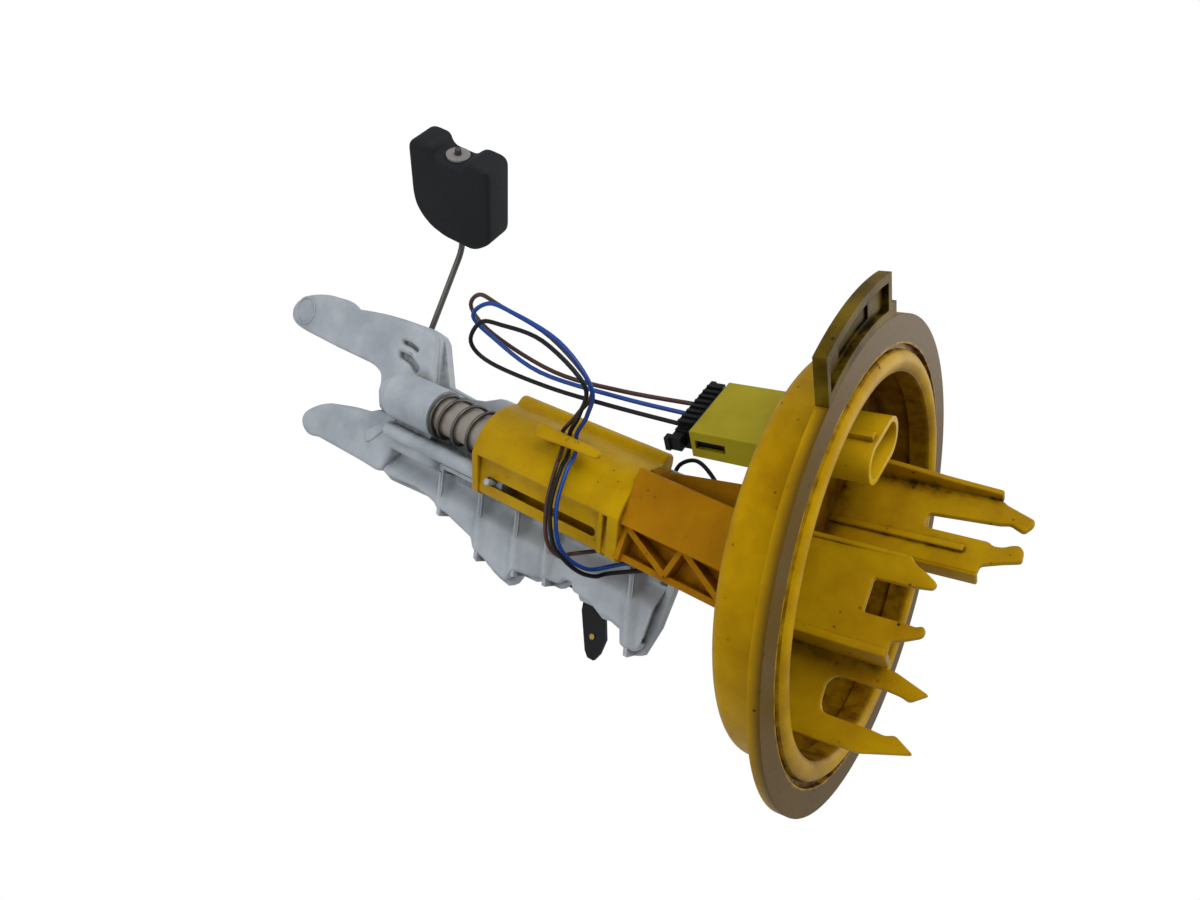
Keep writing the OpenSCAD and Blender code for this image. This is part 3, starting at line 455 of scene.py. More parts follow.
@dataclass
class Solids:
    """Gives each solid of the part its finish."""

    finishes: Finishes

    def build(self) -> None:
        """Assigns every solid's material."""
        for name, finish in NODE_FINISH.items():
            item = bpy.data.objects[name]
            material = self.finishes.get(finish)
            if not item.material_slots:
                item.data.materials.append(material)
            for slot in item.material_slots:
                slot.material = material
            LOG.info("dressed %s with %s", name, finish.name)


def smooth_line(points: list[Point], steps: int) -> list[Vector]:
    """Draws a smooth curve through points given in millimetres.

    Args:
        points: the control points, in millimetres.
        steps: the number of pieces between two control points.

    Returns:
        The curve's points, in metres.
    """
    spots = [Vector(p) * MM for p in points]
    line: list[Vector] = []
    for i in range(len(spots) - 1):
        a = spots[max(i - 1, 0)]
        b, c = spots[i], spots[i + 1]
        d = spots[min(i + 2, len(spots) - 1)]
        for k in range(steps):
            f = k / steps
            line.append(b + 0.5 * f * ((c - a) + f * ((2 * a - 5 * b + 4 * c - d)
                                                      + f * (3 * b - a - 3 * c + d))))
    line.append(spots[-1])
    return line


def bent_line(corners: list[Vector], radius: float, steps: int = 6) -> list[Vector]:
    """Rounds the inner corners of an open line.

    Args:
        corners: the line's corner points.
        radius: how far from a corner its rounding starts.
        steps: the number of pieces in each rounding.

    Returns:
        The rounded line's points.
    """
    line = [corners[0]]
    for before, here, after in zip(corners, corners[1:], corners[2:]):
        first = here + (before - here).normalized() * min(radius, (before - here).length / 2)
        last = here + (after - here).normalized() * min(radius, (after - here).length / 2)
        for k in range(steps + 1):
            f = k / steps
            line.append(first * (1 - f) ** 2 + here * 2 * f * (1 - f) + last * f ** 2)
    line.append(corners[-1])
    return line


def round_loop(corners: list[tuple[float, float]], radius: float, steps: int = 5) \
        -> list[tuple[float, float]]:
    """Rounds every corner of a closed flat outline.

    Args:
        corners: the outline's corner points.
        radius: how far from a corner its rounding starts, at most.
        steps: the number of pieces in each rounding.

    Returns:
        The rounded outline's points.
    """
    loop = []
    for i, spot in enumerate(corners):
        here = Vector(spot)
        before, after = Vector(corners[i - 1]), Vector(corners[(i + 1) % len(corners)])
        first = here + (before - here).normalized() * min(radius, (before - here).length / 2.01)
        last = here + (after - here).normalized() * min(radius, (after - here).length / 2.01)
        for k in range(steps + 1):
            f = k / steps
            spot_now = first * (1 - f) ** 2 + here * 2 * f * (1 - f) + last * f ** 2
            loop.append((spot_now.x, spot_now.y))
    return loop


def solid_from(data: bpy.types.Curve, name: str, frame: Matrix | None = None,
               sharp: float = 40.0) -> bpy.types.Object:
    """Turns a curve into a mesh object that stands at the origin.

    Args:
        data: the curve.
        name: the new object's name.
        frame: where the curve's own frame lies, if not at the origin.
        sharp: the angle in degrees over which an edge stays sharp.

    Returns:
        The new mesh object.
    """
    draft = bpy.data.objects.new(name + "_draft", data)
    bpy.context.scene.collection.objects.link(draft)
    bpy.context.view_layer.update()
    shape = draft.evaluated_get(bpy.context.evaluated_depsgraph_get())
    mesh = bpy.data.meshes.new_from_object(shape)
    bpy.data.objects.remove(draft)
    if frame is not None:
        mesh.transform(frame)
    net = bmesh.new()
    net.from_mesh(mesh)
    bmesh.ops.remove_doubles(net, verts=net.verts, dist=0.01 * MM)
    bmesh.ops.recalc_face_normals(net, faces=net.faces)
    net.to_mesh(mesh)
    net.free()
    mesh.name = name
    mesh.shade_smooth()
    mesh.set_sharp_from_angle(angle=math.radians(sharp))
    item = bpy.data.objects.new(name, mesh)
    bpy.context.scene.collection.objects.link(item)
    return item


def tube(name: str, line: list[Vector], radius: float, sides: int = 3,
         swell: list[float] | None = None) -> bpy.types.Object:
    """Makes a round tube along a line.

    Args:
        name: the new object's name.
        line: the points of its centre line, in metres.
        radius: the tube's radius, in metres.
        sides: the bevel resolution: the tube has four more than twice as many sides.
        swell: the share of the radius at each point, if it changes.

    Returns:
        The new mesh object.
    """
    data = bpy.data.curves.new(name, "CURVE")
    data.dimensions = "3D"
    data.bevel_depth = radius
    data.bevel_resolution = sides
    data.use_fill_caps = True
    spline = data.splines.new("POLY")
    spline.points.add(len(line) - 1)
    for i, (point, spot) in enumerate(zip(spline.points, line)):
        point.co = (*spot, 1.0)
        point.radius = swell[i] if swell else 1.0
    return solid_from(data, name)


def slab(name: str, loops: list[list[tuple[float, float]]], low: float, high: float,
         soft: float, frame: Matrix) -> bpy.types.Object:
    """Makes a flat piece with rounded edges from its outline and its holes.

    Args:
        name: the new object's name.
        loops: the outline and then the holes, in millimetres in the frame's XY plane.
        low: where the piece starts along the frame's Z, in millimetres.
        high: where it ends, in millimetres.
        soft: the rounding of its edges, in millimetres.
        frame: where the frame lies, in metres.

    Returns:
        The new mesh object.
    """
    data = bpy.data.curves.new(name, "CURVE")
    data.dimensions = "2D"
    data.fill_mode = "BOTH"
    data.extrude = (high - low) / 2 * MM - soft * MM
    data.bevel_depth = soft * MM
    data.bevel_resolution = 3
    data.offset = -soft * MM
    for loop in loops:
        spline = data.splines.new("POLY")
        spline.points.add(len(loop) - 1)
        spline.use_cyclic_u = True
        for point, spot in zip(spline.points, loop):
            point.co = (spot[0] * MM, spot[1] * MM, 0, 1)
    lift = Matrix.Translation((0, 0, (low + high) / 2 * MM))
    return solid_from(data, name, frame @ lift)


@dataclass
class Lean:
    """The leaning frame of the column, in millimetres."""

    offset: float = 10.0
    tilt: float = math.radians(9)

    def point(self, u: float, v: float, w: float) -> Vector:
        """Turns a point of the leaning frame into metres in the flange frame.

        Args:
            u: the sideways place.
            v: the front to back place.
            w: the place along the column, negative into the tank.

        Returns:
            The point in metres.
        """
        return Vector((self.offset + u * math.cos(self.tilt) + w * math.sin(self.tilt), v,
                       w * math.cos(self.tilt) - u * math.sin(self.tilt))) * MM

    def axis(self) -> Vector:
        """Returns the column's direction towards the flange."""
        return Vector((math.sin(self.tilt), 0, math.cos(self.tilt)))

    def side(self) -> Matrix:
        """Returns the side view's frame: X sideways, Y along the column, Z to the viewer."""
        turn = Matrix.Rotation(self.tilt, 4, "Y") @ Matrix.Rotation(math.radians(90), 4, "X")
        return Matrix.Translation((self.offset * MM, 0, 0)) @ turn


@dataclass
class Wires:
    """The three lead wires from the plug over the hook to the sensor."""

    finishes: Finishes
    lean: Lean
    radius: float = 0.68
    plug: Point = (-30.0, -5.0, -50.0)
    plug_turn: float = math.radians(-49)
    plug_out: float = 5.5
    pitch: float = 5.0
    blend_from: Point = (0.0, 0.002, -0.06)
    blend_to: Point = (0.0, 0.0164, -0.0629)
    routes: dict[str, list[Point]] = field(default_factory=lambda: {
        "brown_wire": [(-33, -9, -79), (-35, -12, -102), (-43, -17, -124), (-50, -21, -132),
                       (-54, -24, -127), (-51, -26, -116), (-44, -25, -96), (-32, -20, -82),
                       (-24, -14.5, -88.5), (-18, -11.7, -94.5), (-14.6, -10.5, -94.5),
                       (-10.5, -11.2, -94.2), (-6.6, -14.2, -92.8), (4.9, -14.5, -93.2),
                       (15.3, -13, -91.7), (19.8, -8, -89.7), (19.4, -1, -90.1), (16.3, 4.5, -82),
                       (14, 9.1, -74.5), (13.5, 9.7, -67.4), (14, 9.5, -59.4), (14.4, 10.4, -53),
                       (14.9, 14.8, -49), (15.3, 19.6, -51.8), (15.4, 20, -58.6)],
        "blue_wire": [(-31, -12, -78), (-34, -15, -105), (-42, -20, -122), (-47, -25, -127),
                      (-51, -27, -121), (-50, -28, -112), (-43, -28, -91), (-32, -24, -79.5),
                      (-24, -17, -83.5), (-18, -11.7, -89.4), (-13.8, -10.5, -89.4),
                      (-10, -11.6, -89), (-7.5, -14.8, -88.1), (3.7, -17.5, -87.5),
                      (13.8, -16, -85.8), (18.8, -12, -83.7), (21.2, -7, -80.6), (21.5, -1, -79.7),
                      (18.2, 4.5, -73.2), (17.3, 5.8, -68), (12.9, 7.4, -62.2), (11.2, 9.2, -55.2),
                      (11, 13.2, -49.6), (10.8, 18.6, -50.8), (10.6, 20.4, -57.2)],
        "black_wire": [(-28, -15, -78), (-30, -17, -100), (-34, -21, -120), (-39, -26, -125),
                       (-45, -29, -120), (-45, -30, -111), (-42, -31, -94), (-32, -27, -79.8),
                       (-24, -19, -84.8), (-18, -11.7, -91.9), (-14.2, -10.5, -91.9),
                       (-10.2, -11.4, -91.5), (-6.8, -16.4, -89.4), (3.9, -19.5, -88.3),
                       (14.4, -18.5, -85.7), (19.4, -14.2, -82.9), (22.4, -9, -80.3),
                       (23.4, -3, -78.5), (22.3, 2, -77), (18.4, 6.5, -66.1), (15.1, 7, -57.5),
                       (11, 9.5, -48.2), (7.9, 13.5, -45.2), (1, 16.6, -46.6), (-8, 17.4, -52),
                       (-14.3, 17.6, -58.2), (-16.8, 17.6, -63.6), (-14.4, 17.6, -68.6),
                       (-9.4, 17.8, -69.6), (-5.9, 18.2, -65.6), (-4.6, 18.3, -59.6),
                       (-1.4, 18.2, -55), (2.6, 17.6, -55), (5.2, 16.6, -59.4)],
    })

    def ends(self, hole: int, terminal: int) -> tuple[list[Point], list[Point]]:
        """Gives the points at both ends of a wire, in millimetres.

        Args:
            hole: the wire's hole in the plug, from -1 to 1.
            terminal: the wire's terminal on the sensor, from -1 to 1.

        Returns:
            The two points at the plug and the two at the sensor.
        """
        x = self.plug[0] + hole * self.pitch * math.cos(self.plug_turn)
        y = self.plug[1] + hole * self.pitch * math.sin(self.plug_turn)
        start = [(x, y, self.plug[2]), (x, y, self.plug[2] - self.plug_out - 2 * self.radius)]
        u = 11 + terminal * self.pitch
        high = self.lean.point(u, 16.0, -69 + 3 * self.radius) / MM
        low = self.lean.point(u, 16.0, -69) / MM
        return start, [tuple(high), tuple(low)]

    def build(self) -> None:
        looks = {"brown_wire": (BROWN, -1, 1), "blue_wire": (BLUE, 0, 0),
                 "black_wire": (INK, 1, -1)}
        for name, (finish, hole, terminal) in looks.items():
            start, end = self.ends(hole, terminal)
            line = smooth_line(start + self.routes[name] + end, 6)
            item = tube(name.replace("_wire", "_lead"), line, self.radius * MM)
            item.data.materials.append(self.finishes.get(finish))
            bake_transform(item)
            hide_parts(name)


@dataclass
class Spring:
    """The pressure spring round the guide rod."""

    finishes: Finishes
    lean: Lean
    seat: float = 80.0
    length: float = 75.5
    radius: float = 7.55
    wire: float = 0.65
    turns: float = 12.0
    travel: float = 25.0

    def build(self) -> None:
        """Builds the coil with two closed end turns."""
        steps = 28
        count = int(self.turns * steps)
        line = []
        for i in range(count + 1):
            turn = i / steps
            share = self.rise(turn)
            along = -self.seat - self.wire - share * (self.length - 2 * self.wire)
            angle = 2 * math.pi * turn
            line.append(self.lean.point(self.radius * math.cos(angle),
                                        self.radius * math.sin(angle), along))
        item = tube("coil_spring", line, self.wire * MM, 3)
        item.data.materials.append(self.finishes.get(STEEL))
        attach(item, "flange")
        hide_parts("pressure_spring")
        tuple(self.lean.axis())
        tuple(self.lean.point(0, 0, -self.seat))
        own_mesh(item)
        LOG.info("spring built with %d rings", count)

    def rise(self, turn: float) -> float:
        """Gives how far along the spring a turn is, with slow first and last turns.

        Args:
            turn: the number of turns from the seat.

        Returns:
            The share of the spring's length.
        """
        slow = 0.8
        flat = 2.2 * self.wire / self.length
        middle = self.turns - 2 * slow
        if turn < slow:
            return flat * turn / slow
        if turn > self.turns - slow:
            return 1 - flat * (self.turns - turn) / slow
        return flat + (1 - 2 * flat) * (turn - slow) / middle


@dataclass
class FloatArm:
    """The bent float wire and the moulded float that turns on its end."""

    finishes: Finishes
    lean: Lean
    depth: float = 28.6
    pivot: tuple[float, float] = (20.0, -110.0)
    elbow_in: tuple[float, float] = (-7.2, -203.4)
    elbow_out: tuple[float, float] = (-58.77, -199.2)
    bend: float = 41.4
    turn: float = -69.7
    spin: float = 19.4
    wire: float = 1.2
    off: float = 7.1
    width: float = 36.0
    length: float = 38.0
    thick: float = 13.0
    soft: float = 1.7
    shares: list[tuple[float, float]] = field(default_factory=lambda: [
        (-0.1, 0), (0.27, 0), (0.38, 0.07), (0.47, 0.15), (0.5, 0.22), (0.5, 0.95), (0.44, 1),
        (0.24, 1), (0.12, 0.89), (-0.17, 0.89), (-0.21, 1), (-0.41, 1), (-0.5, 0.93),
        (-0.5, 0.38), (-0.475, 0.25), (-0.4, 0.14), (-0.28, 0.05)])

    def end_frame(self) -> Matrix:
        """Returns the frame at the wire's last bend, the wire's end along Z."""
        turn = Matrix.Rotation(self.lean.tilt + math.radians(self.turn), 4, "Y")
        tip = Matrix.Rotation(math.radians(self.bend), 4, "X")
        spin = Matrix.Rotation(math.radians(self.spin), 4, "Z")
        spot = self.lean.point(self.elbow_out[0], self.depth, self.elbow_out[1])
        return Matrix.Translation(spot) @ turn @ tip @ spin

    def build(self) -> None:
        """Builds the wire on the arm and the float on its swivel."""
        frame = self.end_frame()
        root = [a + 0.12 * (b - a) for a, b in zip(self.pivot, self.elbow_in)]
        corners = [self.lean.point(root[0], self.depth, root[1]),
                   self.lean.point(self.elbow_in[0], self.depth, self.elbow_in[1]),
                   self.lean.point(self.elbow_out[0], self.depth, self.elbow_out[1]),
                   frame @ Vector((0, 0, (self.off + 0.97 * self.length) * MM))]
        wire = tube("arm_wire", bent_line(corners, 5 * MM, 8), self.wire * MM, 5)
        wire.data.materials.append(self.finishes.get(ARM))
        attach(wire, "float_arm")
        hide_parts("float_wire")
        flat = frame @ Matrix.Rotation(math.radians(90), 4, "X") \
            @ Matrix.Translation((0, self.off * MM, 0))
        loop = [(x * self.width, y * self.length) for x, y in self.shares]
        body = slab("float_body_moulding", [round_loop(loop, 2.2, 5)], -self.thick / 2,
                    self.thick / 2, self.soft, flat)
        body.data.materials.append(self.finishes.get(FLOAT))
        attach(body, "float_body")
        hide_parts("float")
        LOG.info("float wire and float built")


@dataclass
class Carrier:
    """The softly moulded feet, edge lip, pads and rail of the sprung carrier."""

    finishes: Finishes
    lean: Lean
    face: float = 5.8
    back: float = 14.8
    plate: float = 11.6
    upper: list[tuple[float, float]] = field(default_factory=lambda: [
        (-24.3, -177.5), (-25.7, -183.5), (-25.5, -192), (-25.2, -203.8), (-24.1, -212.9),
        (-23, -220.6), (-21.5, -225.6), (-23.3, -228.8), (-24.3, -233.4), (-24.1, -239.1),
        (-22.8, -245.6), (-20.9, -251.4), (-18.4, -255.6), (-15.5, -257.9), (-12.5, -258.6),
        (-9.4, -257.2), (-7.6, -254), (-6.8, -248), (-5.8, -227.3), (-5.3, -204.2),
        (-3.9, -199.3), (-1.6, -197.4), (4.2, -196.6), (7.9, -194.6), (9.6, -193.2),
        (9.6, -184), (-6, -171)])
    lower: list[tuple[float, float]] = field(default_factory=lambda: [
        (9, -184), (9.2, -193.4), (11.9, -197.9), (12.9, -203.3), (14, -212), (15.9, -221.2),
        (18, -226), (20.3, -229.6), (22.3, -232.3), (24.6, -233.8), (27.2, -234), (29.6, -232.2),
        (31.3, -229), (31.5, -226), (30.5, -222.4), (30.7, -210.4), (31, -194), (31.6, -184),
        (20, -180)])
    slots: list[list[tuple[float, float]]] = field(default_factory=lambda: [
        [(-13.9, -192.4), (-13.7, -185.9), (-10.6, -180), (-8.2, -181), (-11, -186),
         (-11.8, -192)],
        [(-18.2, -192.2), (-18.4, -187.8), (-17.1, -183.1), (-15.9, -183.7), (-17, -187.9),
         (-17, -192)]])
    brace: list[tuple[float, float]] = field(default_factory=lambda: [
        (4, -182.2), (14.1, -190.4), (18.9, -196.6), (23.4, -194), (20.2, -190.3),
        (12, -184), (7, -180)])
    border: list[tuple[float, float]] = field(default_factory=lambda: [
        (31, -185), (32, -181), (30.9, -165), (32, -158), (37.4, -135), (40, -131.2),
        (43.7, -122.9), (45.4, -115.4), (44, -113.8), (40.6, -111.6), (39.4, -104.2),
        (38.2, -102.2), (37.4, -94.6), (35, -92.2), (34.6, -89.4), (37.2, -87.8), (37.6, -81),
        (39.6, -76.2), (39.2, -73), (40.4, -67.4), (44.6, -65.2), (44.8, -60.4), (43.6, -59),
        (34.9, -57.3), (24, -57.3)])
    skin_ends: tuple[float, float] = (-183.0, -58.6)
    skin_root: float = 20.4
    skin_rise: float = 4.2
    ribs: tuple[float, ...] = (-69.8, -104.1, -118.0, -135.2, -155.0)
    rib_root: float = 19.0
    rib_face: float = 5.6
    rib_reach: float = 3.8
    rib_turn: float = math.radians(16)
    rail: tuple[float, float, float] = (16.4, 5.2, 4.2)
    pad: tuple[float, float, float] = (-14.6, -249.6, 5.4)

    def edge_at(self, w: float) -> float:
        """Gives how far the border reaches sideways at a place along the column.

        Args:
            w: the place along the column, in millimetres.

        Returns:
            The border's sideways place, in millimetres.
        """
        for (u1, w1), (u2, w2) in zip(self.border, self.border[1:]):
            if w1 <= w <= w2:
                return u1 + (u2 - u1) * (w - w1) / (w2 - w1 + 1e-9)
        return self.border[0][0]

    def dress(self, item: bpy.types.Object) -> None:
        """Gives a piece the carrier's finish and puts it on the carrier.

        Args:
            item: the piece.
        """
        item.data.materials.append(self.finishes.get(CARRIER))
        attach(item, "carrier")
        LOG.info("carrier piece %s", item.name)

    def feet(self, frame: Matrix) -> None:
        """Builds both feet, the slots beside the boss and the diagonal brace.

        Args:
            frame: the side view's frame.
        """
        front = [round_loop(self.upper, 3, 4)] + [round_loop(s, 1.2, 4) for s in self.slots]
        item = slab("long_foot_face", front, -10, -self.face, 1.5, frame)
        self.dress(item)
        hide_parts("upper_foot")
        item = slab("long_foot_back", [round_loop(self.upper, 3, 4)], 0.15 - self.back, -8.6,
                    1.4, frame)
        self.dress(item)
        item = slab("short_foot_body", [round_loop(self.lower, 3, 4)], 0.15 - self.back,
                    -self.face, 1.8, frame)
        self.dress(item)
        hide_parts("lower_foot")
        u, w, wide = self.pad
        ring = [self.lean.point(u + wide * math.cos(math.radians(a)), self.face + 0.15,
                                w + wide * math.sin(math.radians(a))) for a in range(0, 366, 6)]
        self.dress(tube("foot_ring", ring, 0.6 * MM, 2))
        item = slab("foot_brace", [round_loop(self.brace, 1.5, 4)], -8, 0.8 - self.face, 0.9,
                    frame)
        self.dress(item)

    def trim(self, frame: Matrix) -> None:
        """Builds the border lip and the rail's rounded end.

        Args:
            frame: the side view's frame; not used.
        """
        line = [self.lean.point(u, self.plate + 1.4, w) for u, w in self.border]
        self.dress(tube("border_lip", bent_line(line, 2.4 * MM, 3), 1.1 * MM, 2))
        u, v, r = self.rail
        spots = [-182.3, -182, -181, -179.6, -178, -176, -160, -157.6, -156.4, -156]
        swell = [0.12, 0.35, 0.66, 0.86, 0.97, 1, 1, 0.9, 0.6, 0.2]
        self.dress(tube("rail_end", [self.lean.point(u, v, w) for w in spots], r * MM, 6, swell))

    def ridge(self, u: float, w: float) -> float:
        """Gives how strongly the skin rises to a rib at one place of the side view.

        Args:
            u: the place across the carrier, in millimetres.
            w: the place along the carrier, in millimetres.

        Returns:
            The share, from 0 far from the ribs to 1 on a rib.
        """
        slope = (u - self.rib_root) * math.tan(self.rib_turn)
        gap = min(abs(w - place - slope) for place in self.ribs) * math.cos(self.rib_turn)
        share = max(1.0 - gap / self.rib_reach, 0.0)
        return share * share * (3 - 2 * share)

    def skin_spot(self, along: float, across: float) -> Vector:
        """Gives one point of the skin that ramps up from the rail to the border.

        Args:
            along: the share of the way from the feet to the top.
            across: the share of the way from the rail over the border to the back.

        Returns:
            The point in metres.
        """
        w = self.skin_ends[0] + along * (self.skin_ends[1] - self.skin_ends[0])
        edge = self.edge_at(w) - 0.4
        corner = 1.8
        u = self.skin_root + min(across / 0.76, 1.0) * (edge - corner - self.skin_root)
        ridge = self.ridge(u, w)
        crest = self.plate - self.skin_rise
        crest += ridge * (self.rib_face - crest)
        if across <= 0.76:
            share = min(max((u - self.skin_root - 2.0) / 7.5, 0.0), 1.0)
            share = max(share * share * (3 - 2 * share), ridge)
            v = self.plate + share * (crest - self.plate)
        elif across <= 0.92:
            angle = (across - 0.76) / 0.16 * math.pi / 2
            u = edge - corner + corner * math.sin(angle)
            v = crest + corner - corner * math.cos(angle)
        else:
            u = edge
            v = crest + corner + (across - 0.92) / 0.08 * (self.back - 0.4 - crest - corner)
        return self.lean.point(u, v, w)

    def skin(self) -> None:
        """Builds the soft skin between the ribs, hollow beside the rail."""
        net = bmesh.new()
        bmesh.ops.create_grid(net, x_segments=280, y_segments=60, size=0.5)
        for vert in net.verts:
            vert.co = self.skin_spot(vert.co.x + 0.5, vert.co.y + 0.5)
        bmesh.ops.recalc_face_normals(net, faces=net.faces)
        bmesh.ops.solidify(net, geom=list(net.faces), thickness=1.0 * MM)
        bmesh.ops.recalc_face_normals(net, faces=net.faces)
        mesh = bpy.data.meshes.new("carrier_skin")
        net.to_mesh(mesh)
        net.free()
        mesh.shade_smooth()
        mesh.set_sharp_from_angle(angle=math.radians(60))
        item = bpy.data.objects.new("carrier_skin", mesh)
        bpy.context.scene.collection.objects.link(item)
        self.dress(item)

    def build(self) -> None:
        """Builds every dedicated piece of the carrier."""
        frame = self.lean.side()
        self.feet(frame)
        self.trim(frame)
        self.skin()


@dataclass
class Housing:
    """The spring housing's moulded shell and the hook that holds the wires, in millimetres."""

    finishes: Finishes
    lean: Lean
    low: float = -130.0
    high: float = -70.0
    bore: float = 8.55
    guide: float = 6.56
    seat: float = -80.0
    channel: tuple[float, float, float] = (12.8, 6.2, 9.0)
    channel_end: float = -76.0
    proud: float = 1.004
    slot: tuple[float, float, float] = (2.8, -124.2, -78.8)
    section: list[tuple[float, float]] = field(default_factory=lambda: [
        (-13.2, 10.3), (-15.8, 9.3), (-16.7, 7.6), (-16.0, 5.4), (-14.6, 4.6), (-13.2, 4.1),
        (-12.5, 1.8), (-11.3, -1.6), (-9.3, -4.9), (-6.7, -7.4), (-3.5, -9.2), (-0.6, -10.1),
        (0.0, -10.3), (2.7, -10.7), (5.3, -10.8), (5.7, -10.3), (5.9, -8.5), (6.6, -8.0),
        (17.7, -4.2), (18.5, -1.6), (18.5, 2.4), (16.4, 5.8), (14, 9.6), (12, 10.3)])
    brim: list[tuple[float, float]] = field(default_factory=lambda: [
        (4.4, -10.6), (5.4, -10.8), (18.2, -4.6), (19.0, -1.6), (18.2, 0.6), (15, -4.9),
        (5.6, -8.0)])
    hook: list[tuple[float, float]] = field(default_factory=lambda: [
        (-13.2, -104), (-12.6, -96), (-12.3, -88), (-12.2, -82.6), (-11.4, -80.6), (-10, -80.5),
        (-9.1, -81.6), (-9.1, -88), (-8.8, -96), (-8.4, -101), (-8.2, -104.6), (-11.5, -105.6)])
    hook_in: float = 13.6
    hook_out: float = 15.4

    def ring(self, x: float, y: float, radius: float) -> list[tuple[float, float]]:
        """Draws a circle.

        Args:
            x: its centre's first coordinate.
            y: its centre's second coordinate.
            radius: its radius.

        Returns:
            Its points.
        """
        return [(x + radius * math.cos(math.radians(a)), y + radius * math.sin(math.radians(a)))
                for a in range(0, 360, 6)]

    def slit(self, u: float) -> list[tuple[float, float]]:
        """Draws the stop pin's slot in the side view.

        Args:
            u: the slot's middle.

        Returns:
            The slot's outline with round ends.
        """
        half, low, high = self.slot[0] / 2, self.slot[1], self.slot[2]
        return round_loop([(u - half, low), (u + half, low), (u + half, high),
                           (u - half, high)], half, 6)

    def cut(self, item: bpy.types.Object, cutter: bpy.types.Object) -> None:
        """Cuts one piece's form out of another and removes the cutter.

        Args:
            item: the piece to cut.
            cutter: the form to cut away.
        """
        change = item.modifiers.new("cut", "BOOLEAN")
        change.operation = "DIFFERENCE"
        change.solver = "EXACT"
        change.object = cutter
        bpy.context.view_layer.update()
        shape = item.evaluated_get(bpy.context.evaluated_depsgraph_get())
        mesh = bpy.data.meshes.new_from_object(shape)
        item.modifiers.clear()
        item.data = mesh
        mesh.set_sharp_from_angle(angle=math.radians(35))
        bpy.data.objects.remove(cutter)

    def dress(self, item: bpy.types.Object) -> None:
        """Gives a piece the column's finish and fixes it to the flange.

        Args:
            item: the piece.
        """
        item.data.materials.clear()
        item.data.materials.append(self.finishes.get(COLUMN))
        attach(item, "flange")
        LOG.info("housing piece %s", item.name)

    def build(self) -> None:
        """Builds the shell, its end brims, the stepped wall and the hook."""
        turn = Matrix.Translation((self.lean.offset * MM, 0, 0)) \
            @ Matrix.Rotation(self.lean.tilt, 4, "Y")
        side = self.lean.side()
        u, wide, deep = self.channel
        channel = round_loop([(u - wide / 2, -deep / 2), (u + wide / 2, -deep / 2),
                              (u + wide / 2, deep / 2), (u - wide / 2, deep / 2)], 3, 6)
        outline = round_loop(self.section, 0.7, 3)
        shell = slab("housing_shell", [outline, self.ring(0, 0, self.bore), channel], self.low,
                     self.seat, 0.5, turn)
        self.cut(shell, slab("slit", [self.slit(u)], 3.6, 30, 0.1, side))
        self.dress(shell)
        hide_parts("spring_housing")
        self.dress(slab("housing_seat", [self.ring(0, 0, self.bore + 0.4),
                                         self.ring(0, 0, self.guide)], self.seat,
                        self.high - 0.5, 0.1, turn))
        proud = [(x * self.proud, y * self.proud) for x, y in outline]
        top = slab("housing_top", [proud, self.ring(0, 0, self.bore)], self.seat - 2,
                   self.high, 0.5, turn)
        self.cut(top, slab("slit", [self.slit(u)], 3.6, 30, 0.1, side))
        self.cut(top, slab("end", [channel], self.seat - 4, self.channel_end, 0.1, turn))
        self.dress(top)
        brim = round_loop(self.brim, 0.6, 3)
        for name, start, end in (("left", self.low, self.low + 2.6), ("step", -77.4, -75.6),
                                 ("right", -74.0, self.high)):
            self.dress(slab("housing_brim_" + name, [brim], start, end, 0.4, turn))
        self.dress(slab("hook_bar", [round_loop(self.hook, 1.4, 5)], self.hook_in,
                        self.hook_out, 0.7, side))
        root = round_loop([(-12.8, -104.6), (-8.6, -104.6), (-8.9, -100.4), (-12.2, -100.4)], 1,
                          4)
        item = slab("hook_root", [root], 1.0, self.hook_out - 0.6, 0.5, side)
        self.dress(item)
        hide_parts("wire_hook")


@dataclass
class PlugFins:
    """The ribs on both broad faces of the black plug, in millimetres."""

    finishes: Finishes
    place: tuple[float, float] = (-30.0, -5.0)
    turn: float = math.radians(-49)
    half: float = 3.9
    rise: float = 0.8
    low: float = -55.3
    high: float = -50.7
    count: int = 8
    pitch: float = 2.5
    thick: float = 0.9

    def build(self) -> None:
        """Builds the ribs of both faces."""
        frame = Matrix.Translation((self.place[0] * MM, self.place[1] * MM, 0)) \
            @ Matrix.Rotation(self.turn, 4, "Z")
        for face in (-1, 1):
            for rib in range(self.count):
                x = (rib - (self.count - 1) / 2) * self.pitch
                near, far = sorted((face * self.half, face * (self.half + self.rise)))
                loop = [(x - self.thick / 2, near), (x + self.thick / 2, near),
                        (x + self.thick / 2, far), (x - self.thick / 2, far)]
                item = slab(f"plug_rib_{'back' if face > 0 else 'front'}_{rib + 1}", [loop],
                            self.low, self.high, 0.15, frame)
                item.data.materials.clear()
                item.data.materials.append(self.finishes.get(BLACK))
                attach(item, "flange")
        LOG.info("%d plug ribs", 2 * self.count)


@dataclass(frozen=True)
class CombShape:
    """One line comb: where it stands, its outline and its stiffening flanges, in millimetres.

    A flange is a strip square to the plate: its middle along the plate's width, its half
    thickness, and its side view's corners as (reach towards the viewer, height).
    """

    node: str
    place: tuple[float, float]
    turn: float
    outline: list[tuple[float, float]]
    flanges: list[tuple[float, float, list[tuple[float, float]]]]


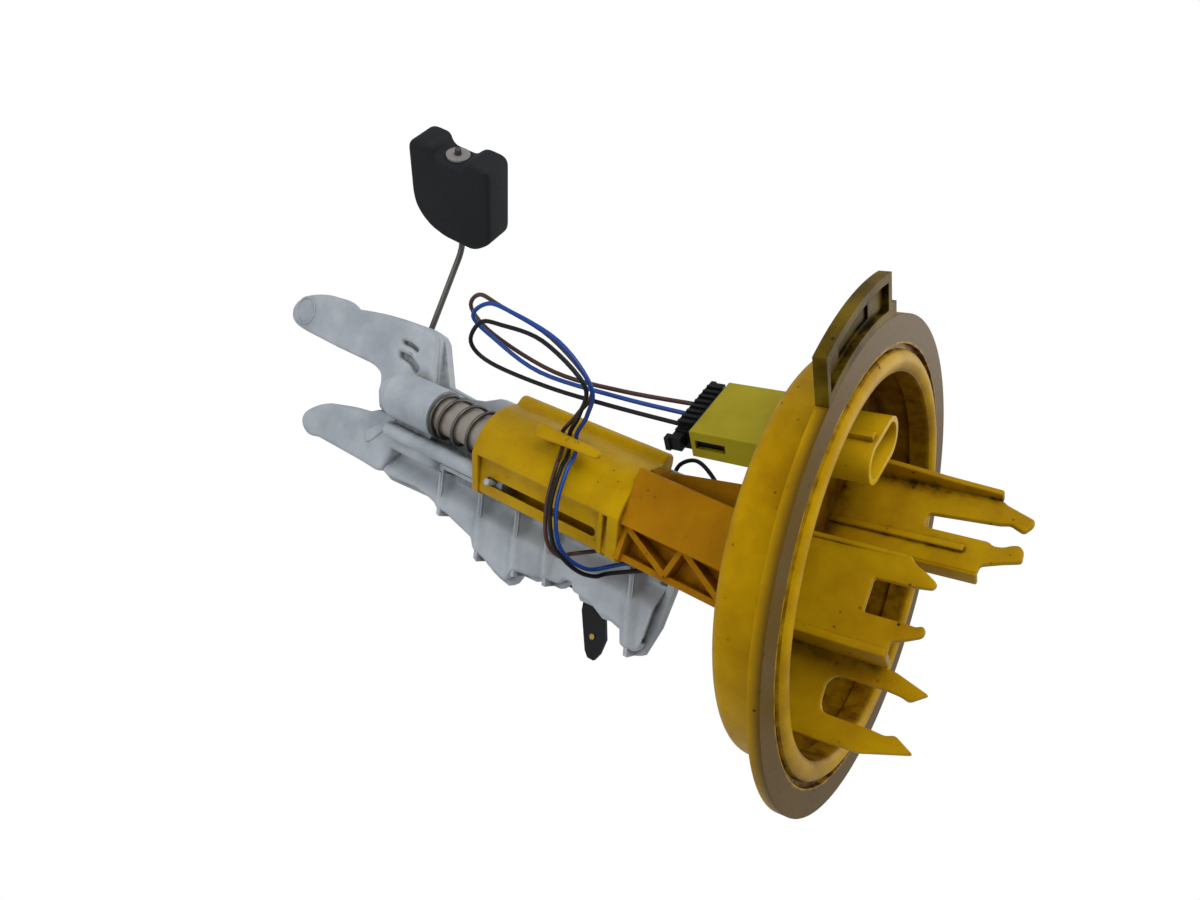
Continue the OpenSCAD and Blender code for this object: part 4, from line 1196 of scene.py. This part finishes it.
COMBS = [
    CombShape("line_comb_upper", (-13.97, 12.0), -35.0, [
        (-12, -15.5), (-12, 10), (-11, 25.6), (-10.1, 26.6), (-8.7, 30), (-7.1, 34), (-5.4, 33.9),
        (-2.9, 32.3), (-3.7, 30.4), (-4.6, 28.8), (-3.9, 26.3), (-2.8, 10.4), (-2.6, 8.9),
        (1.4, 8.9), (1.9, 10.8), (2.1, 25.1), (3.1, 26.6), (2.8, 28.8), (1.7, 30.5), (1.2, 32.2),
        (2.6, 33.6), (5.7, 33.8), (7.2, 29.6), (9.2, 25), (12, 24.8), (12, 0), (12, -15.5)],
        [(-12.0, 0.8, [(-0.5, -15.5), (7.6, -15.5), (7.4, -3), (4.9, 12), (3.2, 25.4),
                       (-0.5, 25.4)]),
         (6.2, 1.0, [(0, -15.5), (2.1, -15.5), (2.1, 20.3), (0, 20.3)]),
         (11.8, 0.7, [(0.6, -15.5), (0.6, 24.8), (-4.2, 24.8), (-4.6, -15.5)])]),
    CombShape("line_comb_middle", (5.48, -19.02), -24.0, [
        (-12.6, -15.5), (-12.5, 12.2), (-12.9, 12.8), (-12.2, 13.6), (-10.8, 14.8), (-9.9, 17),
        (-7.6, 20.5), (-6, 19.9), (-5.3, 15), (-5.2, 6.4), (3.6, 6.5), (3.6, 17.4), (3.8, 18.7),
        (3, 20.1), (3.9, 21), (5.6, 20.7), (7.4, 17.4), (8.6, 14.5), (12.6, 14.3),
        (12.6, -15.5)],
        [(11.6, 1.1, [(1.1, -15.5), (1.1, 14.3), (-9.0, 13.6), (-9.6, 12.8), (-9.8, -15.5)]),
         (-12.2, 0.7, [(0.4, -15.5), (1.6, -15.5), (0.9, 12.2), (0, 12.2)])]),
    CombShape("line_comb_lower", (32.0, -16.99), -22.0, [
        (-11.6, -15.5), (-11.4, 12.6), (-11.2, 14.9), (-8.3, 23.4), (-5.3, 19.6), (-6, 17.5),
        (-6.3, 14), (-6.2, 3), (-5.5, 1.2), (-3.5, 0), (1.1, 0.2), (3.2, 1.2), (3.5, 3.2),
        (3.5, 13.4), (3.8, 16.6), (2.9, 18.8), (5.5, 23.3), (6, 23.1), (8.6, 15), (9.6, 12),
        (9.8, 6), (10.2, -2), (10.4, -15.5)],
        [(-11.2, 0.7, [(0.5, -15.5), (0.9, -4), (0.7, 12.6), (-2.4, 12.6), (-2.6, -15.5)])]),
]


@dataclass
class Combs:
    """The three moulded combs that hold the fuel lines over the cup."""

    finishes: Finishes
    plate: float = 0.9
    soft: float = 0.45

    def build(self) -> None:
        """Builds each comb's plate and its flanges."""
        for shape in COMBS:
            stand = Matrix.Translation((shape.place[0] * MM, shape.place[1] * MM, 0)) \
                @ Matrix.Rotation(math.radians(shape.turn), 4, "Z") \
                @ Matrix.Rotation(math.radians(90), 4, "X")
            item = slab(shape.node + "_plate", [round_loop(shape.outline, 0.8, 4)], -self.plate,
                        self.plate, self.soft, stand)
            self.dress(item)
            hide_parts(shape.node)
            side = stand @ Matrix.Rotation(math.radians(-90), 4, "Y")
            for i, (middle, half, outline) in enumerate(shape.flanges):
                self.dress(slab(f"{shape.node}_flange_{i}", [round_loop(outline, 0.6, 3)],
                                -middle - half, -middle + half, min(half * 0.7, 0.45), side))

    def dress(self, item: bpy.types.Object) -> None:
        """Gives a piece the combs' finish and fixes it to the flange.

        Args:
            item: the piece.
        """
        item.data.materials.append(self.finishes.get(COMB))
        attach(item, "flange")
        LOG.info("comb piece %s", item.name)


def main() -> None:
    """Builds the studio and every piece in order."""
    logging.basicConfig(level=logging.INFO)
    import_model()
    Studio().build()
    finishes = Finishes()
    lean = Lean()
    Wires(finishes, lean).build()
    Solids(finishes).build()
    Spring(finishes, lean).build()
    FloatArm(finishes, lean).build()
    Carrier(finishes, lean).build()
    Combs(finishes).build()
    Housing(finishes, lean).build()
    PlugFins(finishes).build()


if __name__ == "__main__":
    main()
